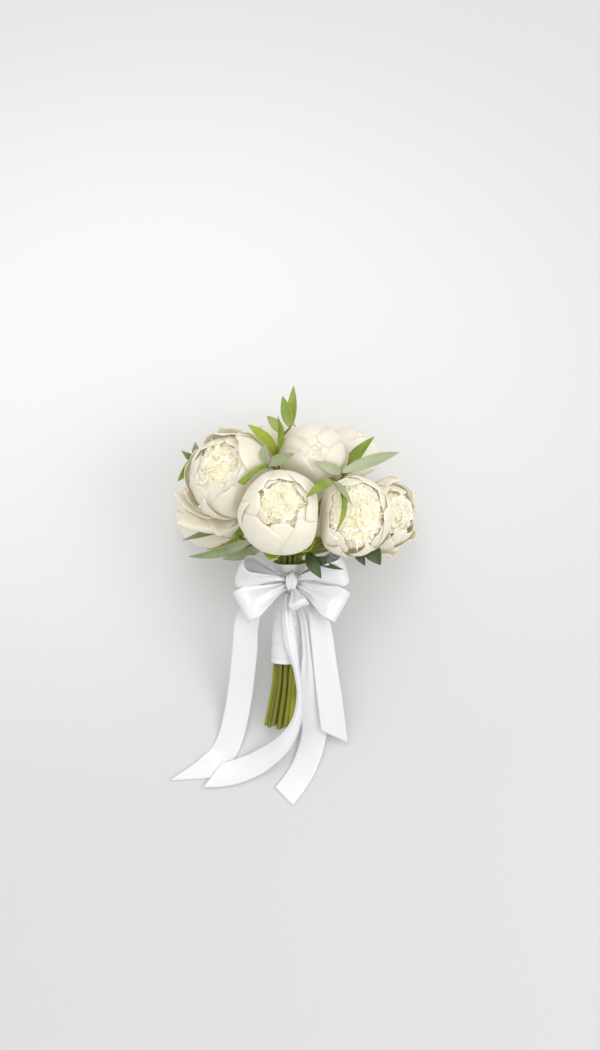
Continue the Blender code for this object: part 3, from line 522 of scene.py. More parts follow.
def blade_paint(name, dark, light, base, roughness, bump, see_through_and_glow=0.0, rooted=0.75):
    """A leaf's or petal's finish: streaked from dark to light, with another colour towards its base.

    The tone attribute, 0 to 1, moves a blade as a whole towards the base colour. The see-through share is the
    share of light that goes in under a petal's surface; where it is set, the petal also glows warm, painted
    light that lifts its shade. Rooted is how strong the base colour is.
    """
    mat = bpy.data.materials.new(name)
    mat.use_nodes = True
    nodes, links = mat.node_tree.nodes, mat.node_tree.links
    shader = nodes["Principled BSDF"]
    shader.inputs["Roughness"].default_value = roughness
    tone = add_node(nodes, "Attribute", attribute_name="tone")
    marks = add_node(nodes, "Group", node_tree=streaks)
    marks.inputs["Dark"].default_value = (*dark, 1)
    marks.inputs["Light"].default_value = (*light, 1)
    marks.inputs["Streaks"].default_value = 0.7
    links.new(tone.outputs["Fac"], marks.inputs["Seed"])
    uv = add_node(nodes, "UVMap", uv_map="blade")
    split = add_node(nodes, "SeparateXYZ")
    links.new(uv.outputs["UV"], split.inputs["Vector"])
    span = {"From Min": 0.55, "From Max": 0.0, "To Min": 0.0, "To Max": rooted}
    low = add_node(nodes, "MapRange", span, interpolation_type="SMOOTHSTEP")
    links.new(split.outputs["Y"], low.inputs["Value"])
    share = add_node(nodes, "Math", operation="MAXIMUM")
    join(links, (low, "Result", share, 0), (tone, "Fac", share, 1))
    colour = add_node(nodes, "Mix", data_type="RGBA")
    colour.inputs["B"].default_value = (*base, 1)
    join(
        links, (share, 0, colour, "Factor"), (marks, "Color", colour, "A"),
        (colour, "Result", shader, "Base Color"),
    )
    relief = add_node(nodes, "Bump", {"Strength": bump, "Distance": 0.0006})
    join(links, (marks, "Height", relief, "Height"), (relief, "Normal", shader, "Normal"))
    # Painted light: where light goes in under the surface, the blade also glows warm, which lifts its shade in
    # the crevices.
    if see_through_and_glow:
        through_and_glow = {
            "Subsurface Weight": see_through_and_glow, "Subsurface Radius": (0.0025, 0.0024, 0.0022),
            "Subsurface Scale": 1.0, "Emission Color": (1.0, 0.90, 0.66, 1), "Emission Strength": PETAL_GLOW,
        }
        for socket, value in through_and_glow.items():
            shader.inputs[socket].default_value = value
    return mat


stem_green = blade_paint(
    "stem green", (0.22, 0.26, 0.003), (0.42, 0.46, 0.008), (0.12, 0.11, 0.003), 0.42, 0.15, rooted=0.0
)
sepal_green = blade_paint(
    "sepal green", (0.24, 0.34, 0.008), (0.44, 0.52, 0.05), (0.30, 0.38, 0.012), 0.45, 0.2
)

# The stems stand in their places, and each flower's widens into a collar with its sepals. A sepal is
# the way it points in the picture, how far up the flower it reaches, its width, how far its tip stands
# off, and its tone.
SEPALS = {
    "left_open": [(150, 60, 9, 0, 0.2), (330, 66, 9, 0, 0.4), (240, 58, 8, 0, 0.3)],
    "front": [(322, 84, 20, 8.5, 0), (256, 66, 14, 4.5, 0.1), (60, 60, 9, 0, 0.4), (170, 52, 8, 0, 0.3)],
    "top": [(200, 62, 9, 0, 0.3), (330, 60, 9, 0, 0.3), (90, 56, 9, 0, 0.2)],
    "right": [(250, 62, 9, 0, 0.4), (10, 60, 9, 0, 0.4), (120, 58, 9, 0, 0.3)],
    "far_right": [(0, 50, 9, 0, 0.3), (240, 54, 9, 0, 0.3), (120, 54, 9, 0, 0.3)],
    "top_right": [(0, 66, 9, 0, 0.3), (120, 64, 9, 0, 0.3), (240, 60, 9, 0, 0.3)],
    "top_left": [(60, 46, 8, 0, 0), (150, 98, 9, 1, 0.1), (300, 60, 9, 0, 0.3)],
    "back_left": [(0, 56, 9, 0, 0.3), (120, 56, 9, 0, 0.3), (240, 56, 9, 0, 0.3)],
    "back_right": [(0, 56, 9, 0, 0.3), (120, 56, 9, 0, 0.3), (240, 56, 9, 0, 0.3)],
}
SEPAL_CLEAR = 1.9
SEPAL_PRESS = 0.7
SEPAL_THICK = 0.7


def sepal_grid(flower, way, reach, width, flare):
    """A sepal hugging the underside of the flower, clear of its outer petals."""
    v, u = np.meshgrid(np.linspace(0, 1, 14), np.linspace(-1, 1, 9), indexing="ij")
    turn = flower.clock(way)
    ball = flower.radius + SEPAL_CLEAR - 0.9 * v * (flare == 0)
    ball = ball + flare * np.clip((v - 0.45) / 0.55, 0, 1) ** 1.3
    ball = ball - 0.8 * u * u * v
    angle = np.radians(3 + (reach - 3) * v * (1 - 0.08 * u * u))
    half = width * np.sin(math.pi * (0.12 + 0.87 * v)) ** 0.7
    beta = half * u / ball
    middle = np.stack((np.sin(angle) * math.cos(turn), np.sin(angle) * math.sin(turn), -np.cos(angle)), axis=-1)
    across = np.array((-math.sin(turn), math.cos(turn), 0))
    local = ball[..., None] * (middle * np.cos(beta)[..., None] + across * np.sin(beta)[..., None])
    local[..., 2] += flower.radius
    return flower.press(flower.to_bouquet(local), SEPAL_PRESS)


def eased(points, radii, times):
    """More points along the same way, so that a bend is round."""
    spots = [tuple(p) for p in points]
    smooth = smooth_path(spots, times * (len(spots) - 1) + 1)
    places = np.linspace(0, len(radii) - 1, len(smooth))
    return smooth, np.interp(places, range(len(radii)), radii)


def stem_shade(place):
    """A stem's tone, which differs from its neighbours' in the handle."""
    return 0.9 * abs(math.sin(2.7 * place))


for name, flower in flowers.items():
    points, radii = eased(*thinned(stem_routes[name]), 2)
    pieces = [round_stem("stem", points, radii, stem_shade(flower.place))]
    bpy.ops.mesh.primitive_cone_add(vertices=20, radius1=2.2, radius2=6.0, depth=COLLAR_LONG)
    collar = bpy.context.object
    seat = np.array(flower.base - flower.faces * (GAP + COLLAR_LONG / 2))
    local = np.array([tuple(v.co) for v in collar.data.vertices])
    reshape(collar, laid(flower.press(seat + local @ np.array(flower.turn).T, PETAL_CLEAR)))
    pieces.append(collar)
    grids = [sepal_grid(flower, *sepal[:4]) for sepal in SEPALS[name]]
    calyx = grids_mesh("calyx", grids, SEPAL_THICK, [sepal[4] for sepal in SEPALS[name]])
    calyx.data.materials.append(sepal_green)
    for green in pieces:
        green.data.materials.append(stem_green)
    stem = one_piece("stem_of_" + name, [*pieces, calyx])
    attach(stem, "root")
    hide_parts("stem_" + name)

# ---------------------------------------------------------------- the blooms
# A double peony is a cup of broad guard petals round layer on layer of narrower ones, packed so close
# that the heart looks crumpled. All grow from the receptacle, and the heart shows where they part.
petal_cream = blade_paint(
    "petal cream", (0.655, 0.612, 0.50), (0.73, 0.695, 0.595), (0.77, 0.69, 0.48), 0.55, 0.2, 0.3
)
heart_cream = blade_paint(
    "heart cream", (0.76, 0.72, 0.57), (0.85, 0.82, 0.72), (0.84, 0.77, 0.50), 0.6, 0.2, 0.3
)
PETAL_THICK = 0.45
HEART_THICK = 0.35
HEART_CLEAR = 1.2
CORE_CLEAR = 2.0
CORE_DEEPER = 4

# Guard petals: the way each points in the picture, its inset from the ball, the angles round the ball
# where it starts and ends, half width as a share of the radius, flare, then point, ruffle and curl.
GUARDS = {
    "front": [
        (302, 0.2, 9, 144, 0.96, 1, 0.35, 0.4, 0.2), (236, 0.7, 9, 139, 0.94, 1, 0, 0.5, 0.3),
        (130, 0.9, 9, 148, 0.94, 0, 0, 0.3, 0), (48, 0.8, 9, 148, 0.94, 0, 0, 0.4, 0),
        (184, 0.3, 9, 130, 0.46, 1, 0.3, 0.3, 1), (352, 1.2, 9, 146, 0.80, 0, 0, 0.5, 0),
        (90, 1.9, 30, 152, 0.74, 0, 0, 0.7, 0), (270, 1.2, 9, 146, 0.80, 0, 0.1, 0.9, 0.4),
        (178, 2, 30, 149, 0.68, 0, 0, 0.7, 0), (120, 4, 50, 153, 0.50, 0, 0, 1, 0),
        (30, 4, 50, 154, 0.48, 0, 0, 1, 0), (216, 4, 50, 150, 0.44, 0, 0, 1, 0),
        (325, 4, 50, 151, 0.44, 0, 0, 1, 0),
    ],
    "left_open": [
        (266, 0.2, 9, 86, 0.56, 20, 0.9, 1.8, 0), (229, 0.4, 9, 92, 0.80, 29, 1, 1.6, 0),
        (200, 0.5, 9, 100, 0.66, 16, 0.8, 1.8, 0), (160, 0.6, 9, 118, 0.72, 2, 0, 1.2, 0.6),
        (252, 1.2, 9, 120, 0.50, 3, 0.5, 1, 0.8), (213, 1, 9, 111, 0.50, 6, 0.5, 1.4, 1),
        (96, 0.4, 9, 120, 0.60, 9, 0.3, 1.4, 0), (66, 0.5, 9, 118, 0.60, 7, 0.2, 1.4, 0),
        (22, -0.5, 9, 156, 1.12, 3, 0, 0.8, 1), (288, 2.6, 9, 136, 0.90, 0, 0.2, 0.8, 0.4),
        (92, 0.8, 9, 142, 0.80, 4, 0, 1.4, 1), (196, 3.6, 9, 124, 0.84, 0, 0.3, 1.2, 0.6),
        (146, 2.6, 9, 138, 0.80, 0, 0, 1.2, 0.6), (332, 1.6, 9, 148, 0.94, 1, 0, 0.8, 0.4),
        (242, 3.8, 9, 130, 0.84, 0, 0, 0.9, 0.4),
        (206, 4.8, 30, 140, 0.60, 0, 0, 1.2, 0.4), (164, 4.6, 30, 145, 0.60, 0, 0, 1.2, 0.4),
        (112, 2.6, 30, 152, 0.74, 0, 0, 1, 0), (60, 2.4, 30, 156, 0.70, 0, 0, 0.8, 0),
        (352, 3, 30, 156, 0.70, 0, 0, 0.8, 0), (266, 4.4, 30, 146, 0.64, 0, 0, 0.9, 0.2),
        (228, 5.6, 50, 150, 0.50, 0, 0, 1.2, 0), (182, 5.6, 50, 151, 0.50, 0, 0, 1.2, 0),
        (20, 4.2, 50, 160, 0.50, 0, 0, 0.9, 0), (305, 4.4, 50, 156, 0.50, 0, 0, 0.9, 0),
    ],
    "top": [
        (215, 0.5, 9, 158, 1.12, 0, 0, 0.2, 0), (335, 0.8, 9, 160, 1.12, 0, 0, 0.2, 0),
        (95, 0.7, 9, 156, 1.12, 0, 0, 0.2, 0),
        (160, 1.2, 40, 165, 1, 0, 0, 0.2, 0), (280, 1.3, 40, 166, 1, 0, 0, 0.2, 0),
        (40, 1.2, 40, 166, 0.98, 0, 0, 0.2, 0),
        (235, 1.7, 70, 171, 0.80, 0, 0, 0.2, 0), (110, 1.7, 70, 171, 0.80, 0, 0, 0.2, 0),
        (350, 1.8, 70, 172, 0.80, 0, 0, 0.2, 0),
        (180, 2.2, 90, 176, 0.60, 0, 0, 0.1, 0), (300, 2.3, 90, 176, 0.60, 0, 0, 0.1, 0),
        (60, 2.2, 90, 177, 0.58, 0, 0, 0.1, 0),
        (120, 2.6, 110, 184, 0.46, 0, 0, 0.1, 0), (240, 2.9, 110, 186, 0.50, 0, 0, 0.1, 0),
        (0, 3.4, 110, 192, 0.62, 0, 0, 0.1, 0),
    ],
    "right": [
        (356, 0.6, 9, 138, 0.86, 1, 0, 0.6, 0.2), (206, 1.2, 9, 124, 0.80, 0, 0, 0.6, 0),
        (132, 1.1, 9, 134, 0.98, 0, 0, 0.5, 0), (62, 0.8, 9, 136, 0.92, 1, 0, 0.6, 0),
        (326, 0.3, 9, 110, 0.50, 4, 0.9, 0.6, 0.4), (284, 0.8, 9, 122, 0.38, 1, 0.3, 0.6, 0.8),
        (244, 0.4, 9, 112, 0.58, 2, 0.5, 0.6, 0.5),
        (20, 1.8, 40, 142, 0.68, 0, 0, 0.9, 0.2), (95, 2, 40, 140, 0.70, 0, 0, 0.9, 0),
        (170, 2, 40, 134, 0.68, 0, 0, 0.7, 0), (322, 2, 40, 130, 0.56, 0, 0, 0.8, 0.4),
        (230, 2.8, 50, 128, 0.50, 0, 0, 0.8, 0.2),
    ],
}
# How each heart is filled: how far from the flower's axis it shows, in degrees, its inset, and tone.
HEARTS = {
    "front": (48, 5.6, 0.12), "left_open": (48, 4.6, 0.3), "top": (8, 4, 0), "right": (68, 4.2, 0.4),
    "far_right": (40, 5.6, 0), "top_right": (16, 5, 0), "top_left": (16, 5, 0),
    "back_left": (36, 4.6, 0.1), "back_right": (36, 4.6, 0.1),
}
# The others follow their kind: rings of petals as count, inset, start, end, half width, flare, ruffle.
OPEN_RINGS = [
    (5, 0.6, 9, 104, 0.78, 7, 2.2), (5, 2.2, 30, 126, 0.66, 4, 2.4),
    (4, 3.6, 50, 140, 0.6, 1, 1.8), (4, 4.8, 60, 152, 0.52, 0, 1.6),
]
CLOSED_RINGS = [(4, 0.6, 9, 142, 0.96, 1, 0.6), (3, 2.2, 40, 156, 0.84, 0, 0.6), (3, 4, 70, 168, 0.6, 0, 0.5)]
HALF_OPEN_RINGS = [
    (5, 0.6, 9, 134, 0.84, 0, 0.6), (4, 2.2, 40, 146, 0.7, 0, 0.7), (4, 4, 60, 156, 0.55, 0, 0.7),
]
RINGS = {
    "far_right": OPEN_RINGS, "top_right": CLOSED_RINGS, "top_left": CLOSED_RINGS,
    "back_left": HALF_OPEN_RINGS, "back_right": HALF_OPEN_RINGS,
}


def guard_grid(flower, turn, facts, draw, rows=20, cols=17):
    """One broad petal lying in the flower's ball, rounded or pointed at its rim."""
    inset, start, end, width, flare, point, ruffle, curl = facts
    v, u = np.meshgrid(np.linspace(0, 1, rows), np.linspace(-1, 1, cols), indexing="ij")
    phase = draw.uniform(0, 2)
    dent = draw.uniform(-0.5, 0.5)
    notch = 0.035 * np.exp(-(((u - dent) / 0.16) ** 2)) * v**8
    rim = 0.19 * u * u * v + point * 0.24 * np.abs(u) * v * v + notch + 0.012 * np.sin(7 * u + 9 * phase) * v**4
    angle = np.radians(start + (end - start) * v * (1 - rim))
    rooted = inset + (0 if start < 20 else 4.0)
    rise = np.minimum(1.0, v / 0.45)
    layer = rooted + (inset - rooted) * rise * rise * (3 - 2 * rise)
    ball = flower.radius - layer - 0.3 + 0.35 * u + flare * v**3
    cup = (1 - u * u) * np.sin(0.9 * math.pi * v) - 0.5 * np.minimum(1, 3 * v)
    ball = ball + (2.2 if start < 20 else 1.0) * cup
    ball = ball + ruffle * np.sin(math.pi * (1.5 * u + phase)) * v * v
    ball = ball + 0.35 * ruffle * np.sin(math.pi * (3.7 * u + 2 * phase)) * v**4
    ball = ball + curl * np.maximum(0, (v - 0.82) / 0.18) ** 2 * (1 - 0.5 * u * u)
    broad = 0.09 + 0.91 * np.sin(math.pi / 2 * np.minimum(1.0, v / 0.62)) ** 0.9
    broad = broad * (1 - (0.22 + 0.74 * point) * np.maximum(0.0, (v - 0.72) / 0.28) ** 2)
    beta = width * flower.radius * broad * u / ball
    middle = np.stack((np.sin(angle) * math.cos(turn), np.sin(angle) * math.sin(turn), -np.cos(angle)), axis=-1)
    across = np.array((-math.sin(turn), math.cos(turn), 0))
    local = ball[..., None] * (middle * np.cos(beta)[..., None] + across * np.sin(beta)[..., None])
    local[..., 2] += flower.radius
    room = 1.7 * np.clip((math.pi / 2 - angle) / 0.45, 0, 1)
    return flower.press(flower.to_bouquet(local), PETAL_CLEAR + room)


def heart_grids(flower, spread, inset, draw):
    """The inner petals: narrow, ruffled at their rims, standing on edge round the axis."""
    grids = []
    top = flower.radius - inset
    rings = max(2, round(spread / 7.5))
    for ring in range(rings):
        off = math.radians(spread * (ring + 0.35) / rings)
        count = max(3, round(top * math.sin(off) * math.tau / 8.5))
        for k in range(count):
            turn = math.tau * (k + draw.uniform(-0.3, 0.3) + 0.5 * ring) / count
            tip = off + draw.uniform(-0.05, 0.05)
            high = top + draw.uniform(-2.6, 1.0)
            half = draw.uniform(7.0, 12.0)
            twist = draw.uniform(-1.0, 1.0)
            phase, waves = draw.uniform(0, 2), draw.uniform(1.0, 2.2)
            v, u = np.meshgrid(np.linspace(0, 1, 8), np.linspace(-1, 1, 9), indexing="ij")
            frill = np.abs(np.sin(math.pi * waves * u + phase)) * v**3 + 1.2 * u * u * v
            reach = high * (0.34 + 0.66 * v) - frill
            side = half * (0.35 + 0.65 * np.sin(math.pi / 2 * np.minimum(1, v / 0.7))) * u
            lean = tip * (0.55 + 0.45 * v) - 0.10 * np.maximum(0, v - 0.7) / 0.3 * draw.uniform(-1, 1.6)
            fold = 1.5 * np.sin(math.pi * waves * u + 2 * phase) * v * v + 0.9 * u * u * v
            out = np.array((math.cos(turn), math.sin(turn), 0))
            round_way = np.array((-math.sin(turn), math.cos(turn), 0))
            across = round_way * math.cos(twist) + out * math.sin(twist)
            through = out * math.cos(twist) - round_way * math.sin(twist)
            upward = np.cos(lean)[..., None] * np.array((0, 0, 1))
            spot = reach[..., None] * (np.sin(lean)[..., None] * out + upward)
            spot = spot + side[..., None] * across + fold[..., None] * through
            spot[..., 2] += flower.radius
            grids.append(flower.press(flower.to_bouquet(spot), HEART_CLEAR))
    return grids


for name, flower in flowers.items():
    draw = random.Random("bloom " + name)
    grids, tones = [], []
    if name in GUARDS:
        for way, *facts in GUARDS[name]:
            grids.append(guard_grid(flower, flower.clock(way), facts, draw))
            tones.append(draw.uniform(0.0, 0.12))
    else:
        for level, (count, inset, start, end, width, flare, ruffle) in enumerate(RINGS[name]):
            for k in range(count):
                turn = math.tau * (k + 0.5 * level) / count + draw.uniform(-0.12, 0.12) + 0.4
                end_here = end * draw.uniform(0.95, 1.04)
                facts = (inset, start, end_here, width, flare, 0.0, ruffle, draw.uniform(0, 1))
                grids.append(guard_grid(flower, turn, facts, draw))
                tones.append(draw.uniform(0.0, 0.12))
    guards = grids_mesh("guard petals", grids, PETAL_THICK, tones)
    guards.data.materials.append(petal_cream)
    spread, inset, tone = HEARTS[name]
    grids = heart_grids(flower, spread, inset, draw)
    heart = grids_mesh("heart petals", grids, HEART_THICK, [draw.uniform(0, tone) for _ in grids])
    heart.data.materials.append(heart_cream)
    bpy.ops.mesh.primitive_uv_sphere_add(segments=32, ring_count=20, radius=1.0)
    core = bpy.context.object
    local = np.array([tuple(v.co) for v in core.data.vertices]) * (flower.radius - inset - CORE_DEEPER)
    local[:, 2] += flower.radius
    reshape(core, laid(flower.press(flower.to_bouquet(local), CORE_CLEAR)))
    core.data.materials.append(heart_cream)
    bloom = one_piece("peony_" + name, [guards, heart, core])
    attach(bloom, "root")
    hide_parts("bloom_" + name)

# ---------------------------------------------------------------- the leafy sprays
# Twigs of olive and ruscus and a few peony leaves stand among the flowers. A leaf is a thin blade,
# folded a little along its midrib and arched, and it grows from the twig where the twig passes.
# Each leaf: its tip, the way its upper face looks, half width, arch, where on the twig, and its tone.
# A last word names its green where that isn't the spray's own.
LEAVES = {
    "ruscus_top": [
        ((-8, 369, 12), (0.1, -0.2, 1), 5.6, 4, 0.97, 0.1),
        ((4, 380, 8), (-0.2, -0.1, 1), 4.8, -2, 1, 0.6),
        ((-25, 347, 10), (0, 0.4, 1), 5, 3, 0.92, 0.9),
        ((-13, 351, 36), (0.5, 0, 0.85), 3.8, 6, 0.66, 0),
        ((-46, 336, 0), (0.4, 0.4, 0.8), 7, 8, 0.6, 0.8, "young"),
    ],
    "olive_centre": [
        ((-25, 322, 42), (-0.6, 0, 0.8), 6.4, 5, 1, 0.5),
        ((5, 313, 56), (-0.2, 0.3, 0.9), 6, 3, 1, 0.2),
        ((-56, 284, 72), (0.8, 0, 0.55), 12, 3, 0.9, 0, "ruscus"),
    ],
    "ruscus_right": [
        ((17, 272, 100), (0.3, 0.7, 0.8), 5.2, 6, 1, 0.1),
        ((49, 234, 98), (0.8, 0.2, 0.6), 4.8, 13, 1, 0.3),
        ((66, 263, 90), (0.2, 0.6, 0.8), 3.4, 4, 0.95, 0.3, "olive"),
    ],
    "olive_right": [
        ((26, 304, 56), (0, 0.2, 1), 5.6, 5, 1, 0.7),
        ((119, 306, 4), (0.2, 0.4, 1), 6, 7, 1, 0.5),
        ((88, 302, 24), (0.1, 0.6, 0.8), 5.4, 4, 0.86, 0.3),
        ((92, 325, 14), (-0.4, 0.5, 0.8), 7, 5, 0.74, 0, "ruscus"),
    ],
    "peony_leaf_right": [
        ((99, 184, 20), (0.2, -0.3, 1), 9, 5, 1, 0.2),
        ((113, 219, 12), (0.2, -0.6, 0.9), 7, 4, 0.9, 0.1),
        ((82, 183, 20), (0.2, -0.4, 1), 5.5, 4, 0.8, 0.3),
    ],
    "peony_leaf_low": [
        ((34, 174, 47), (0.2, -0.3, 1), 6.4, 4, 1, 0.1),
        ((58, 184, 46), (0.1, -0.5, 1), 3.6, 4, 0.9, 0.2),
        ((44, 203, 62), (0, -0.8, 0.7), 7, 4, 1, 0),
    ],
    "olive_left": [
        ((-111, 192, 12), (0.1, -0.4, 1), 5.8, 8, 1, 0),
        ((-76, 203, -4), (0.1, -0.5, 1), 7, 4, 0.6, 0.1),
        ((-74, 188, 6), (0, -0.4, 1), 6, 4, 0.8, 0.4),
    ],
    "ruscus_left": [
        ((-123, 272, -8), (-0.3, -0.2, 1), 5.5, 3, 1, 0),
        ((-119, 305, -16), (-0.2, -0.2, 1), 4.4, 4, 1, 0, "olive"),
        ((-104, 313, -26), (-0.2, 0.2, 1), 4, 3, 1, 0.4, "olive"),
        ((-118, 208, 2), (-0.3, 0.2, 1), 3.8, 4, 0.45, 0.2, "olive"),
    ],
    "ruscus_back": [
        ((-46, 292, -72), (0, 0.2, -1), 6.5, 4, 1, 0.1),
        ((-6, 300, -80), (0.2, 0.2, -1), 6, 4, 1, 0.3),
    ],
    "olive_back": [
        ((100, 256, -74), (0.3, 0, -1), 6, 4, 1, 0.1),
        ((74, 268, -86), (0, 0.2, -1), 6, 4, 1, 0.3),
        ((94, 198, -50), (0.2, -0.5, -0.8), 6, 4, 0.9, 0.2),
    ],
}
LEAF_GREENS = {
    "young": sepal_green,
    "ruscus": blade_paint(
        "ruscus green", (0.10, 0.17, 0.004), (0.25, 0.34, 0.018), (0.32, 0.36, 0.10), 0.36, 0.5
    ),
    "olive": blade_paint(
        "olive grey green", (0.16, 0.21, 0.075), (0.31, 0.36, 0.18), (0.46, 0.48, 0.34), 0.5, 0.5
    ),
    "peony": blade_paint(
        "peony leaf green", (0.022, 0.046, 0.008), (0.06, 0.10, 0.02), (0.09, 0.12, 0.035), 0.38, 0.6
    ),
}
LEAF_THICK = 0.5


def keep_off(points, clear):
    """Moves points out of every flower's ball and over the floor."""
    tilt = np.array((0.0, math.sin(LIE_TILT), math.cos(LIE_TILT)))
    for _ in range(8):
        for flower in flowers.values():
            off = points - np.array(flower.centre)
            far = np.linalg.norm(off, axis=-1)
            least = flower.bulk + clear
            points = points + off * (np.maximum(0, least - far) / far)[..., None]
        low = np.maximum(0, FLOOR_CLEAR - (CUT_END[2] + points @ tilt))
        points = points + tilt * low[..., None]
    return points


def leaf_grid(base, tip, up, half, arch):
    """A pointed leaf from its short stalk to its tip, with a groove along the midrib."""
    along = tip - base
    side = along.cross(up).normalized()
    rise = side.cross(along).normalized()
    v, u = np.meshgrid(np.linspace(0, 1, 19), np.linspace(-1, 1, 9), indexing="ij")
    broad = half * np.sin(math.pi * v**0.85).clip(0) ** 0.9 + 0.9 * (1 - v) + 0.12
    lift = arch * 4 * v * (1 - v) + 0.28 * broad * np.abs(u) ** 1.4
    points = (
        np.array(base) + v[..., None] * np.array(along) + (u * broad)[..., None] * np.array(side)
        + lift[..., None] * np.array(rise)
    )
    points[2:] = keep_off(points, LEAF_CLEAR)[2:]
    return points


for name, leaves in LEAVES.items():
    route = twig_routes[name]
    points, radii = thinned(route)
    above = points[route["kept"] - 1 :]
    kind = name.split("_")[0]
    blades = []
    for order, (tip, up, half, arch, at, tone, *other) in enumerate(leaves):
        base = above[round(at * (len(above) - 1))]
        base = base + (Vector(tip) - base).normalized() * (0.3 * order)
        grid = leaf_grid(base, Vector(tip), Vector(up), half, arch)
        blade = grids_mesh("leaf", [grid], LEAF_THICK, [tone * 0.8])
        blade.data.materials.append(LEAF_GREENS[other[0] if other else kind])
        blades.append(blade)
    twig = round_stem("twig", *eased(points, radii, 2), stem_shade(TWIGS[name][0]))
    twig.data.materials.append(stem_green)
    spray = one_piece("leafy_" + name, [*blades, twig])
    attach(spray, "root")
    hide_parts("spray_" + name)

# ---------------------------------------------------------------- tape and wrap
# Crepe tape binds the stems, and satin ribbon is wound over it in slanting turns that overlap, each
# turn's edge showing as a low step.
satin = bpy.data.materials.new("white satin")
satin.use_nodes = True
nodes, links = satin.node_tree.nodes, satin.node_tree.links
shader = nodes["Principled BSDF"]
finish = {
    "Roughness": 0.27, "Specular IOR Level": 1.0, "Sheen Weight": 0.25, "Sheen Roughness": 0.4
}
for socket, value in finish.items():
    shader.inputs[socket].default_value = value
weave_map = add_node(nodes, "UVMap", uv_map="blade")
thread = add_node(nodes, "VectorMath", {1: (60.0, 4.0, 1.0)}, operation="MULTIPLY")
warp = add_node(nodes, "TexNoise", {"Scale": 2.0, "Detail": 3.0})
shine = add_node(nodes, "Mix", {"A": (0.63, 0.634, 0.645, 1), "B": (0.71, 0.714, 0.724, 1)}, data_type="RGBA")
grain = add_node(nodes, "Bump", {"Strength": 0.08, "Distance": 0.0003})
join(
    links, (weave_map, "UV", thread, 0), (thread, "Vector", warp, "Vector"), (warp, "Fac", shine, "Factor"),
    (shine, "Result", shader, "Base Color"), (warp, "Fac", grain, "Height"),
    (grain, "Normal", shader, "Normal"),
)

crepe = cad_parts["binding_tape"]
tape = bpy.data.materials.new("crepe tape")
tape.use_nodes = True
nodes, links = tape.node_tree.nodes, tape.node_tree.links
nodes["Principled BSDF"].inputs["Roughness"].default_value = 0.7
# Painted shade: the crepe's crinkles are fine noise between darker and lighter green, with no relief.
painted_crinkle_shade = add_node(nodes, "TexNoise", {"Scale": 400.0})
green = add_node(nodes, "Mix", {"A": (0.10, 0.17, 0.06, 1), "B": (0.18, 0.27, 0.12, 1)}, data_type="RGBA")
spots = add_node(nodes, "TexCoord")
join(
    links, (spots, "Object", painted_crinkle_shade, "Vector"), (painted_crinkle_shade, "Fac", green, "Factor"),
    (green, "Result", nodes["Principled BSDF"], "Base Color"),
)
for slot in crepe.material_slots:
    slot.material = tape

WRAP_MIDDLE_R = 15.8
WRAP_THICK = 0.5
WRAP_FLARE = 2.5
TURN_PITCH = 15.0
TURN_SLANT = 9.0
TURN_STEP = 0.85
rows, cols = 150, 64
v, u = np.meshgrid(np.linspace(0, 1, rows), np.linspace(0, math.tau, cols), indexing="ij")
along = WRAP_BOTTOM + (WRAP_TOP - WRAP_BOTTOM) * v
climb = (along + TURN_SLANT * np.sin(u - 0.5) - WRAP_BOTTOM) / TURN_PITCH
step = climb - np.floor(climb)
widening = WRAP_FLARE * np.clip((v - 0.85) / 0.15, 0, 1) ** 1.5
folds = 0.25 * np.sin(5 * u + 3 * v) * v + 0.7 * np.sin(7 * u) * np.clip((v - 0.9) / 0.1, 0, 1)
radius = WRAP_MIDDLE_R + TURN_STEP * (1 - step) ** 1.2 + widening + folds * 0.5
middle_x = np.vectorize(axis_x)(along)
grid = np.stack((middle_x + radius * np.cos(u), along, radius * np.sin(u)), axis=-1)
wrap = grids_mesh("wound_ribbon", [grid], WRAP_THICK)
wrap.data.materials.append(satin)
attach(wrap, "root")
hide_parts("wrap_ribbon")

# ---------------------------------------------------------------- the bow
# Satin ribbon 28 mm wide is tied in a double bow: two loops each side and a small one below, drawn
# together under a gathered knot. Its four tails run down the front and out over the surface.
SATIN_THICK = 0.35
TAIL_HALF = 14.0
KNOT_CENTRE = (2, 166, 21.7)
KNOT_SIZE = (7.5, 9.0, 5.5)
KNOT_STRETCH = (0.86, 1.12, 0.92)
# Each loop: where it leaves the knot, the way it goes out, the way the ribbon's width lies, its length,
# its height and its half width.
LOOPS = {
    "upper_left": ((-4.8, 170.1, 21.8), (-0.95, 0.18, 0.24), (-0.20, 0.72, 0.66), 53, 26, 13.0),
    "lower_left": ((-5.1, 161.5, 21.1), (-0.88, -0.40, 0.22), (-0.40, 0.88, -0.25), 55, 20, 14.0),
    "upper_right": ((8.7, 170.5, 21.8), (0.95, 0.24, 0.18), (0.20, 0.90, 0.38), 54, 24, 13.0),
    "lower_right": ((9.3, 161.9, 21.1), (0.87, -0.42, 0.25), (0.45, 0.85, -0.25), 55, 22, 14.0),
    "middle": ((5.2, 158.1, 23.4), (0.30, -0.80, 0.52), (0.90, 0.10, 0.40), 22, 14, 8.0),
}
